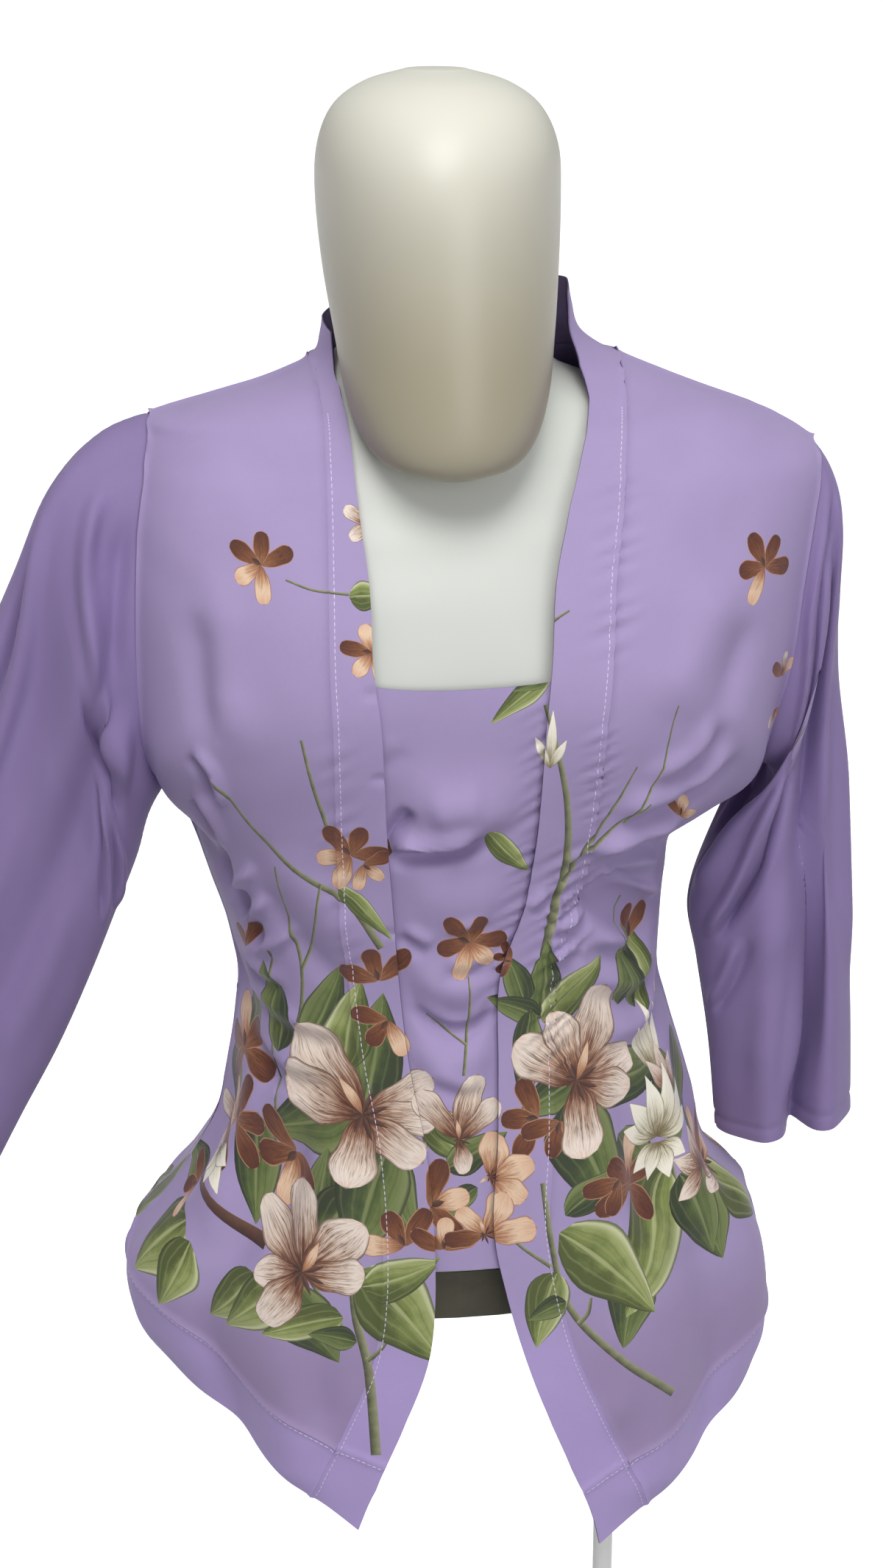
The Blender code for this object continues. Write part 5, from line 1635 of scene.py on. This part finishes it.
# ---------------------------------------------------------------- outlines
EDGE_SPACING = 0.003  # between points of the outlines
GROOVE_SPACING = 0.02  # of the seams
STITCH_SPACING = 0.004  # and of the lines of stitches
MITRE_DROP = {"r": 0.010, "l": 0.018}  # from the band's seam out to its free edge
SEAM_WIDTH, SEAM_DEPTH = 0.0022, 0.0016  # of the groove along a seam


def stepped(flat, spacing=EDGE_SPACING):
    """A flat line in even steps of about the spacing."""
    run = run_of(flat)
    count = max(1, math.ceil(run[-1] / spacing))
    return at_runs(flat, run, np.linspace(0, run[-1], count + 1))


def closed(trunk, *lines):
    """The flat outline through lines of (angle, level), end to end."""
    return np.concatenate([stepped(trunk.flat(line))[:-1] for line in lines])


def grooves(*flats):
    """Seams pressed into the cloth along flat lines."""
    paths = [stepped(flat, GROOVE_SPACING) for flat in flats]
    return [Crease("seam", SEAM_WIDTH, -SEAM_DEPTH, path) for path in paths]


def with_grooves(trunk, lines, seams=None):
    """The flat outline through lines, and grooves along all of them or the first few, the seams."""
    return closed(trunk, *lines), grooves(*(trunk.flat(line) for line in lines[:seams]))


def front_outline(side):
    """From the band up, over the shoulder and down the armhole and the side."""
    seam = band_seam(side)
    lower = side_line(side, SIDE_SEAM[side], UNDERARM[side])
    hem_seam = straight(side_point(side, SIDE_SEAM[side]), seam[0])
    lines = (seam, shoulder_line(side), armhole(side, "front")[::-1], lower[::-1], hem_seam)
    return with_grooves(FRONT, lines)


def hem_outline(side):
    """The front's strip, from the band to the side."""
    inner = opening_line(SEAM[side], TAIL_HEM[side], TAIL_SEAM[side])
    outer = side_line(side, SIDE_HEM[side], SIDE_SEAM[side])
    lines = (inner, straight(inner[-1], outer[-1]), outer[::-1], straight(outer[0], inner[0]))
    return with_grooves(FRONT, lines, seams=3)


def round_back(line):
    """A line of the right side, with its angles counted on from the left side's."""
    return np.asarray(line) + (360.0, 0.0)


def back_outline():
    """Up the left side and armhole, over the neck and down the right ones."""
    left = side_line("l", SIDE_SEAM["l"], UNDERARM["l"])
    right = round_back(side_line("r", SIDE_SEAM["r"], UNDERARM["r"]))
    left_shoulder, right_shoulder = shoulder_line("l"), round_back(shoulder_line("r"))
    lines = (
        left,
        armhole("l", "back"),
        left_shoulder[::-1],
        straight(left_shoulder[0], right_shoulder[0]),
        right_shoulder,
        round_back(armhole("r", "back"))[::-1],
        right[::-1],
        straight(right[0], left[0]),
    )
    return with_grooves(BACK, lines)


def back_hem_outline():
    """The back's strip, from side to side."""
    left = side_line("l", SIDE_HEM["l"], SIDE_SEAM["l"])
    right = round_back(side_line("r", SIDE_HEM["r"], SIDE_SEAM["r"]))
    lines = (left, straight(left[-1], right[-1]), right[::-1], straight(right[0], left[0]))
    return with_grooves(BACK, lines, seams=3)


def band_lines(side):
    """The band's free edge and seam, from the tail up and on round the neck."""
    sign = SIDE[side]
    neck, top = float(level_of(NECK_SEAM)), float(level_of(COLLAR_TOP[side]))
    corner = opening_line(SEAM[side], TAIL_HEM[side], TAIL_SEAM[side])
    seam = np.concatenate([corner, band_seam(side)[1:]])
    fall = 1 - smoothstep((seam[:, 1] - seam[0, 1]) / TIP_FALL)
    fall *= level_of(TAIL_HEM[side]) - level_of(TAIL_TIP[side])
    climb = (top - neck) * smoothstep((seam[:, 1] - neck) / COLLAR_RISE + 1)
    levels = seam[:, 1] - fall + climb
    heights = curve(column(BODY_RINGS, 0), levels)
    places = height_curve(EDGE[side], heights)
    free = np.array([(angle_at(float(x), level), level) for x, level in zip(places, levels)])
    free[-1] = (sign * 90.0, top)
    share = np.linspace(0.0, 1.0, LINE_POINTS)
    round_neck = sign * 90.0 * (1 + share)
    rise = top + (level_of(COLLAR_BACK_TOP) - top) * smoothstep(share)
    free_back = np.stack([round_neck, rise], -1)
    seam_back = np.stack([round_neck, np.full(LINE_POINTS, neck)], -1)
    return np.concatenate([free, free_back[1:]]), np.concatenate([seam, seam_back[1:]])


def mitre_line(side):
    """The line across the band's tip, where the hem's strip is turned up over it."""
    free, seam = band_lines(side)
    inner = np.abs(seam[:, 1] - level_of(TAIL_SEAM[side])).argmin()
    outer = np.abs(free[:, 1] - level_of(TAIL_SEAM[side] - MITRE_DROP[side])).argmin()
    return straight(free[outer], seam[inner])


def band_outline(side):
    """The band from its tip to the centre back, with grooves along its seam and its mitre."""
    free, seam = band_lines(side)
    ends = (straight(free[-1], seam[-1]), straight(seam[0], free[0]))
    outline = closed(FRONT, free, ends[0], seam[::-1], ends[1])
    return outline, grooves(FRONT.flat(seam), FRONT.flat(mitre_line(side)))


def centre_outline():
    """The centre panel, with its sagging top. Its seams lie hidden behind the bands."""
    right, left = (
        opening_line(EDGE[side], CENTRE_BOTTOM, CENTRE_TOP, SIDE[side] * CENTRE_UNDERLAP)
        for side in ("r", "l")
    )
    top = straight(right[-1], left[-1])
    share = np.linspace(0.0, 1.0, LINE_POINTS)
    top[:, 1] -= level_of(CENTRE_TOP) - level_of(CENTRE_TOP - CENTRE_SAG * 4 * share * (1 - share))
    return closed(FRONT, right, top, left[::-1], straight(left[0], right[0])), []


# ---------------------------------------------------------------- the sleeves' surface
LOOP_POINTS = 144  # round the armhole
TURN_STEP = 0.01  # of the surface's differences
SHARE_STEP = 0.002
SLEEVE_INSET = 0.0016  # share of its length that the sleeve stops short of the armhole
FORWARD = np.array([0.0, -1.0, 0.0])


def plane_of(half):
    """The unit vector square to a sleeve's half width and to the depth."""
    return unit(np.cross(half, (0.0, 1.0, 0.0)))


class Sleeve:
    """A sleeve's outer face, by its turn from the shoulder's line forwards and share of length."""

    def __init__(self, side):
        self.side = side
        shares = np.linspace(0.0, 1.0, LOOP_POINTS // 2 + 1)
        front = evenly(armhole(side, "front"), shares)[::-1]
        back = evenly(armhole(side, "back"), shares)[1:]
        loop = np.concatenate([front, back])
        points = body_point(loop[:, 0], loop[:, 1])
        self.turns = np.linspace(0, 2 * math.pi, LOOP_POINTS + 1)
        self.top, self.low = points[0], points[LOOP_POINTS // 2]
        half, middle = (self.top - self.low) / 2, (self.top + self.low) / 2
        reach = points - middle
        along = reach @ half / (half @ half)
        self.loop = (along, -reach[:, 1] + along * half[1], reach @ plane_of(half))

    def point(self, turn, share):
        """Points at these turns and shares of the length."""
        table = SLEEVE_RINGS[self.side]
        at = np.interp(share, column(table, 0), range(len(table)))
        outer_x, outer_z, inner_x, inner_z, middle_y, front, back = (
            curve(column(table, index), at) for index in range(1, 8)
        )
        start = smoothstep(1 - share / SLEEVE_TOP_FADE)[:, None]
        first = np.array(table[0])
        lead = np.stack([outer_x, middle_y, outer_z], -1)
        lead = lead + start * (self.top - first[[1, 5, 2]])
        trail = np.stack([inner_x, middle_y, inner_z], -1)
        trail = trail + start * (self.low - first[[3, 5, 4]])
        half, middle = (lead - trail) / 2, (lead + trail) / 2
        around = np.mod(turn, 2 * math.pi)
        along, toward, off = (np.interp(around, self.turns, values) for values in self.loop)
        fade = smoothstep(share / SLEEVE_LOOP_FADE)
        sine = np.sin(turn)
        across = (1 - fade) * along + fade * np.cos(turn)
        forward = (1 - fade) * toward + fade * sine * np.where(sine > 0, front, back)
        for _, face, top, cuff, half_width, depth_top, depth_cuff in SLEEVE_FOLDS[self.side]:
            centre = top + (cuff - top) * share
            depth = depth_top + (depth_cuff - depth_top) * share
            rise = depth * smoothstep(share / SLEEVE_FOLD_START)
            sign = 1.0 if face == "front" else -1.0
            shape = np.exp(-(((across - centre) / half_width) ** 2))
            forward = forward + sign * rise * shape * smoothstep(sign * sine / SLEEVE_FOLD_EDGE)
        place = middle + across[:, None] * half + ((1 - fade) * off)[:, None] * plane_of(half)
        return place + forward[:, None] * FORWARD

    def lay(self, flat):
        """Flat points on the sleeve, and their normals outwards."""
        turn = flat[:, 0] / GIRTH * 2 * math.pi
        share = SLEEVE_INSET + flat[:, 1] / SLEEVE_LENGTH * (1 - SLEEVE_INSET)
        round_it = self.point(turn + TURN_STEP, share) - self.point(turn - TURN_STEP, share)
        low, high = np.maximum(share - SHARE_STEP, 0), np.minimum(share + SHARE_STEP, 1)
        down = self.point(turn, high) - self.point(turn, low)
        return self.point(turn, share), unit(np.cross(round_it, down) * -SIDE[self.side])


def sleeve_outline():
    """The sleeve laid flat, its armhole first and its cuff last."""
    half = GIRTH / 2
    return np.array([(-half, 0.0), (half, 0.0), (half, SLEEVE_LENGTH), (-half, SLEEVE_LENGTH)])


# ---------------------------------------------------------------- form, snaps and stand
FORM_AROUND, FORM_ROWS = 96, 110
HEAD_AROUND, HEAD_ROWS = 96, 80
SMOOTH_ANGLE = math.radians(38)  # edges sharper than this stay sharp


def form_rings():
    """Sections of the form's trunk and neck."""
    heights = np.linspace(CAP_HEIGHT + FORM_RINGS[0][0], FORM_RINGS[-1][0], FORM_ROWS)[:, None]
    at = np.interp(heights, column(FORM_RINGS, 0), range(len(FORM_RINGS)))
    columns = (column(FORM_RINGS, index) for index in range(1, 6))
    half, front, side, back, square = (curve(values, at) for values in columns)
    angle = np.arange(FORM_AROUND)[None] * 360.0 / FORM_AROUND
    x, y = ring_point(angle, half, front, side, back, square)
    height = np.broadcast_to(heights, x.shape)
    return np.stack([x, y - bust(x, y, height, BUST_SWELL["form"]), height], -1)


def lofted(name, rings, material):
    """A closed solid through rings of points, with a flat cap at each end."""
    obj = mesh_of(name, rings.reshape(-1, 3), tube_faces(0, *rings.shape[:2]))
    obj.data.materials.append(material)
    shape = bmesh.new()
    shape.from_mesh(obj.data)
    bmesh.ops.recalc_face_normals(shape, faces=shape.faces)
    shape.to_mesh(obj.data)
    shape.free()
    return obj


def head_rings():
    """Sections of the egg-shaped head, closer together where it closes."""
    at = (1 - np.cos(np.linspace(0, math.pi, HEAD_ROWS))) / 2 * (len(HEAD_RINGS) - 1)
    height, middle_x, half_width, middle_y, half_depth = (
        curve(column(HEAD_RINGS, index), at)[:, None] for index in range(5)
    )
    turn = round_turns(HEAD_AROUND)[None]
    x, y = middle_x + half_width * np.sin(turn), middle_y - half_depth * np.cos(turn)
    return np.stack([x, y, np.broadcast_to(height, x.shape)], -1)


def apply_modifiers(obj):
    """Makes the object's modifiers its mesh."""
    bpy.context.view_layer.update()
    graph = bpy.context.evaluated_depsgraph_get()
    mesh = bpy.data.meshes.new_from_object(obj.evaluated_get(graph))
    obj.modifiers.clear()
    obj.data = mesh


def make_form(material, head_material):
    """The form's trunk, neck and head in one."""
    form = lofted("dress_form", form_rings(), material)
    head = lofted("head_blank", head_rings(), head_material)
    union = form.modifiers.new("head", "BOOLEAN")
    union.operation = "UNION"
    union.material_mode = "TRANSFER"
    union.object = head
    apply_modifiers(form)
    bpy.data.objects.remove(head)
    form.data.shade_smooth()
    form.data.set_sharp_from_angle(angle=SMOOTH_ANGLE)
    return form


SNAP_RINGS = (
    # radius share, height share: a press stud's half with a raised middle
    (1.00, 0.00),
    (1.00, 0.30),
    (0.86, 0.46),
    (0.60, 0.46),
    (0.52, 0.66),
    (0.40, 1.00),
    (0.18, 1.00),
)
SNAP_AROUND = 32


def make_snap(number, height, material):
    """A press stud, its cap towards the band and its socket towards the panel."""
    angle, level = opening_point(EDGE["r"], height, -SNAP_SET_BACK)
    normal = normals_of(body_point, np.array(angle), np.array(level))
    middle = body_point(angle, level) - normal * (BAND_CLOTH + CENTRE_DROP) / 2
    side = unit(np.cross(normal, (0.0, 0.0, 1.0)))
    up = np.cross(side, normal)
    turns = round_turns(SNAP_AROUND)[:, None]
    circle = np.cos(turns) * side + np.sin(turns) * up
    outward = [(share, climb / 2) for share, climb in SNAP_RINGS]
    rings = [
        middle + SNAP_RADIUS * share * circle + normal * SNAP_THICK * climb
        for share, climb in [(share, -climb) for share, climb in reversed(outward)] + outward[1:]
    ]
    snap = lofted(f"press_stud_{number}", np.array(rings), material)
    snap.data.set_sharp_from_angle(angle=SMOOTH_ANGLE)
    return snap


# ---------------------------------------------------------------- stitches
HEM_STITCH_GAP = 0.0022  # from the seam to its stitches
BAND_STITCH_GAP = 0.0030
BAND_STITCHED = (0.12, 0.985)  # the rises between which the bands' seams are stitched
ANY_RISE = (0.0, 1.0)
CUFF_FOLD = 0.012  # depth of the sleeve's turned cuff
DIMPLE_REACH, DIMPLE_DEPTH = 0.0045, 0.0016
# The line of a dimple, from outside the band's free edge inwards.
DIMPLE_PATH = np.array([(-2 * DIMPLE_REACH, -0.001), (-DIMPLE_REACH, 0.0), (DIMPLE_REACH, 0.0)])


def stitch_line(name, line, gap, rises, creases, puckers, material):
    """Stitches beside a line of (angle, level) of the front, between two rises."""
    flat = moved_aside(stepped(FRONT.flat(line), STITCH_SPACING), gap)
    flat = flat[(flat[:, 1] > rises[0]) & (flat[:, 1] < rises[1])]
    thread(name, flat, ON_FRONT, material, creases, puckers)


def snap_dimples():
    """The small hollows that the press studs pull into the right band's edge."""
    edges = FRONT.flat([opening_point(EDGE["r"], height) for height in SNAP_HEIGHTS])
    return [Crease("soft", DIMPLE_REACH / 2, -DIMPLE_DEPTH, edge + DIMPLE_PATH) for edge in edges]


# ---------------------------------------------------------------- stage
AIM = Vector((0.0, 0.0, 0.72))
CAMERA_DISTANCE = 1.7
CAMERA_ELEVATION = math.radians(18.0)
CAMERA_AZIMUTH = math.radians(-6.0)
LENS = 111.0
SENSOR_WIDTH = 36.0
FARTHEST = 200.0  # that the camera sees
FLOOR_RADIUS = 60.0
FLOOR_SIDES = 96
FLOOR_GLOW = 0.80  # keeps the floor as white as the photo's ground
WORLD_STRENGTH = 0.60
WORLD_STOPS = (
    # from straight down (0) to straight up (1), and the light there
    (0.00, (0.13, 0.12, 0.13, 1.0)),
    (0.45, (0.36, 0.35, 0.37, 1.0)),
    (0.62, (0.56, 0.57, 0.60, 1.0)),
    (1.00, (1.0, 1.0, 1.0, 1.0)),
)
LIGHTS = (
    # name, place, target, size, energy, colour
    ("key", (-0.4, -1.8, 3.1), (0.0, 0.0, 0.85), 1.5, 43.0, (1.0, 0.99, 0.97)),
    ("front fill", (0.9, -3.2, 1.2), (0.0, 0.0, 0.70), 2.0, 31.0, (0.97, 0.98, 1.0)),
    ("ceiling lamp", (0.30, -1.10, 2.95), (0.0, 0.0, 1.0), 0.8, 6.0, (1.0, 1.0, 1.0)),
)


def stand(name, data, place, target):
    """A lamp or camera in the scene, at its place and looking at its target."""
    obj = bpy.data.objects.new(name, data)
    obj.location = place
    obj.rotation_euler = (target - place).to_track_quat("-Z", "Y").to_euler()
    bpy.context.scene.collection.objects.link(obj)
    return obj


def area_light(name, place, target, size, energy, colour):
    """A round lamp that looks at its target."""
    light = bpy.data.lights.new(name, "AREA")
    light.shape = "DISK"
    light.size, light.energy, light.color = size, energy, colour
    stand(name, light, Vector(place), Vector(target))


def make_world():
    """A pale room: a bright ceiling, grey walls and a dim floor."""
    world = bpy.data.worlds.new("pale room")
    world.use_nodes = True
    tree = world.node_tree
    kinds = ("TexCoord", "SeparateXYZ", "MapRange", "ValToRGB")
    place, split, share, ramp = (tree.nodes.new(f"ShaderNode{kind}") for kind in kinds)
    share.inputs["From Min"].default_value = -1.0
    set_stops(ramp.color_ramp, WORLD_STOPS)
    background = tree.nodes["Background"]
    background.inputs["Strength"].default_value = WORLD_STRENGTH
    tree.links.new(place.outputs["Generated"], split.inputs[0])
    tree.links.new(split.outputs["Z"], share.inputs["Value"])
    tree.links.new(share.outputs["Result"], ramp.inputs["Fac"])
    tree.links.new(ramp.outputs["Color"], background.inputs["Color"])
    bpy.context.scene.world = world


def make_floor():
    """A white floor that throws no light back at the cloth."""
    turns = round_turns(FLOOR_SIDES)
    ring = np.stack([np.cos(turns), np.sin(turns), np.zeros(FLOOR_SIDES)], -1) * FLOOR_RADIUS
    floor = mesh_of("floor", ring, [range(FLOOR_SIDES)])
    paint = Paint("floor white", Specular_IOR_Level=0.0, Roughness=0.9)
    paint.set(Base_Color=srgb(248, 248, 249))
    paint.set(Emission_Color=(1.0, 1.0, 1.0, 1.0), Emission_Strength=FLOOR_GLOW)
    floor.data.materials.append(paint.material)
    floor.visible_diffuse = False


def make_camera():
    """The photograph's viewing angle."""
    camera = bpy.data.cameras.new("camera")
    camera.lens = LENS
    camera.sensor_width = SENSOR_WIDTH
    camera.sensor_fit = "HORIZONTAL"
    camera.clip_end = FARTHEST
    level, sine = math.cos(CAMERA_ELEVATION), math.sin(CAMERA_ELEVATION)
    away = (math.sin(CAMERA_AZIMUTH) * level, -math.cos(CAMERA_AZIMUTH) * level, sine)
    place = AIM + CAMERA_DISTANCE * Vector(away)
    bpy.context.scene.camera = stand("camera", camera, place, AIM)


def make_stage():
    """The floor, the room's light, the lamps and the camera."""
    make_floor()
    make_world()
    for light in LIGHTS:
        area_light(*light)
    make_camera()
    bpy.context.scene.view_settings.view_transform = "Standard"


# ---------------------------------------------------------------- the dressed blouse
CLOTH_THICK = 0.0007
BAND_THICK = 0.0016
STRENGTH = {"front": 1.5, "back": 1.5, "sleeve": 1.4, "centre": 1.3}  # of each table's creases
FRONT_LIFTS = creases_of(FRONT_CREASES, STRENGTH["front"])
BACK_LIFTS = creases_of(BACK_CREASES, STRENGTH["back"])
FRONT_WAVES = puckers_of(FRONT_PUCKERS)
DIMPLES = snap_dimples()


def belongs(obj, node):
    """Attaches the piece to the root and hides the CAD node that it stands for."""
    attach(obj, "root")
    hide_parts(node)


def flat_size(outline, strip):
    """(width, length) and area of a flat outline, or of a narrow strip that bends in its plane."""
    area = abs(signed_area(outline))
    width, length = np.ptp(outline, axis=0)
    if strip:
        half_edge = np.linalg.norm(outline - np.roll(outline, -1, axis=0), axis=1).sum() / 2
        length = (half_edge + math.sqrt(half_edge**2 - 4 * area)) / 2
        width = area / length
    return (float(width), float(length)), float(area)


def dress_trunk(name, node, shape, lay, cloth, motifs, creases, puckers=(), thick=CLOTH_THICK):
    """A piece of the trunk's cloth in a shape of (outline, seams), for its node. Its cut size goes
    unused.
    """
    outline, seams = shape
    strip = node.startswith(("band", "hem"))
    piece = dress(name, outline, lay, cloth, thick, motifs, creases + seams, puckers)
    belongs(piece, node)
    flat, area = flat_size(outline, strip)


def dress_front(side, cloths, motifs, pale_thread):
    """One side's front and band, and its strip of the hem with the stitches along it."""
    dress_trunk(
        f"front_{side}_cloth", f"front_{side}", front_outline(side), ON_FRONT, cloths["lilac"],
        motifs, FRONT_LIFTS, FRONT_WAVES,
    )
    band = band_outline(side)
    dress_trunk(
        f"band_{side}_cloth", f"band_{side}", band, ON_FRONT, cloths["band"],
        motifs, FRONT_LIFTS + DIMPLES, FRONT_WAVES, BAND_THICK,
    )
    hem = hem_outline(side)
    dress_trunk(f"hem_{side}_cloth", f"hem_{side}", hem, ON_FRONT, cloths["hem"], (), FRONT_LIFTS)
    mitre = mitre_line(side)
    line = np.concatenate([mitre, straight(mitre[-1], side_point(side, SIDE_SEAM[side]))[1:]])
    stitch_line(
        f"hem_stitches_{side}", line, SIDE[side] * -HEM_STITCH_GAP, ANY_RISE,
        FRONT_LIFTS + band[1] + hem[1], (), pale_thread,
    )


def stitch_band(side, pale_thread):
    """The stitches along the inner side of one band's seam."""
    _, seam = band_lines(side)
    stitch_line(
        f"band_stitches_{side}", seam, SIDE[side] * BAND_STITCH_GAP, BAND_STITCHED,
        FRONT_LIFTS + band_outline(side)[1] + DIMPLES, FRONT_WAVES, pale_thread,
    )


def dress_sleeve(side, cloth, pale_thread):
    """One sleeve, with the stitches of its cuff."""
    sleeve, outline = Sleeve(side), sleeve_outline()
    cuff = outline[2:]
    edges = grooves(outline[:2], outline[1:3], outline[[3, 0]], cuff - (0.0, CUFF_FOLD))
    creases = creases_of(SLEEVE_CREASES[side], STRENGTH["sleeve"]) + edges
    motifs = draw_stems(SLEEVE_STEMS[side])
    piece = dress(f"sleeve_{side}_cloth", outline, sleeve.lay, cloth, CLOTH_THICK, motifs, creases)
    belongs(piece, f"sleeve_{side}")
    line = stepped(cuff - (0.0, CUFF_FOLD - HEM_STITCH_GAP), STITCH_SPACING)
    thread(f"cuff_stitches_{side}", line, sleeve.lay, pale_thread, creases)


def make_hard_pieces():
    """The form, the press studs and the finish of the stand."""
    # The torso is darker towards the bottom: painted shade.
    white = make_ivory(
        "white plastic", srgb(198, 201, 195), srgb(212, 215, 209), heights=(0.70, 0.95)
    )
    # The head darkens towards the chin: partly the plastic's yellowing, partly painted shade under
    # the chin.
    yellowed_and_shaded = make_ivory(
        "yellowed plastic", srgb(164, 157, 134), srgb(222, 221, 208), heights=(0.98, 1.16)
    )
    belongs(make_form(white, yellowed_and_shaded), "form")
    steel = make_grained(
        "stud metal", srgb(190, 190, 192), srgb(150, 150, 154),
        roughness=0.28, scale=900.0, metallic=1.0,
    )
    for number, height in enumerate(SNAP_HEIGHTS, 1):
        belongs(make_snap(number, height, steel), f"snap_{number}")

    dark = make_grained(
        "dark cap", srgb(84, 81, 66), srgb(68, 66, 55), roughness=0.55, scale=300.0, specular=0.3
    )
    enamel = make_grained(
        "white enamel", srgb(246, 246, 243), srgb(240, 240, 236), roughness=0.32, scale=260.0
    )
    for node, material in (("form_base_cap", dark), ("pole", enamel), ("base_plate", enamel)):
        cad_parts[node].material_slots[0].material = material


def main():
    """Dresses the frame and sets the stage."""
    cloths, pale_thread = make_cloths(), make_thread_material()
    front_print = [raised(motif) for motif in draw_print()]
    shifts = [(metres(shift), 0.0) for shift in BACK_REPEATS]
    back_print = [shifted(motif, shift) for shift in shifts for motif in front_print]

    for side in ("r", "l"):
        dress_front(side, cloths, front_print, pale_thread)
        dress_sleeve(side, cloths["sleeve"], pale_thread)
        stitch_band(side, pale_thread)
    dress_trunk(
        "back_cloth", "back", back_outline(), ON_BACK, cloths["lilac"], back_print, BACK_LIFTS
    )
    dress_trunk(
        "back_hem_cloth", "hem_back", back_hem_outline(), ON_BACK, cloths["hem"], (), BACK_LIFTS
    )
    dress_trunk(
        "centre_cloth", "centre_panel", centre_outline(), FRONT.on(centre_face), cloths["lilac"],
        front_print, creases_of(CENTRE_CREASES, STRENGTH["centre"]), puckers_of(CENTRE_PUCKERS),
    )
    make_hard_pieces()
    make_stage()


main()
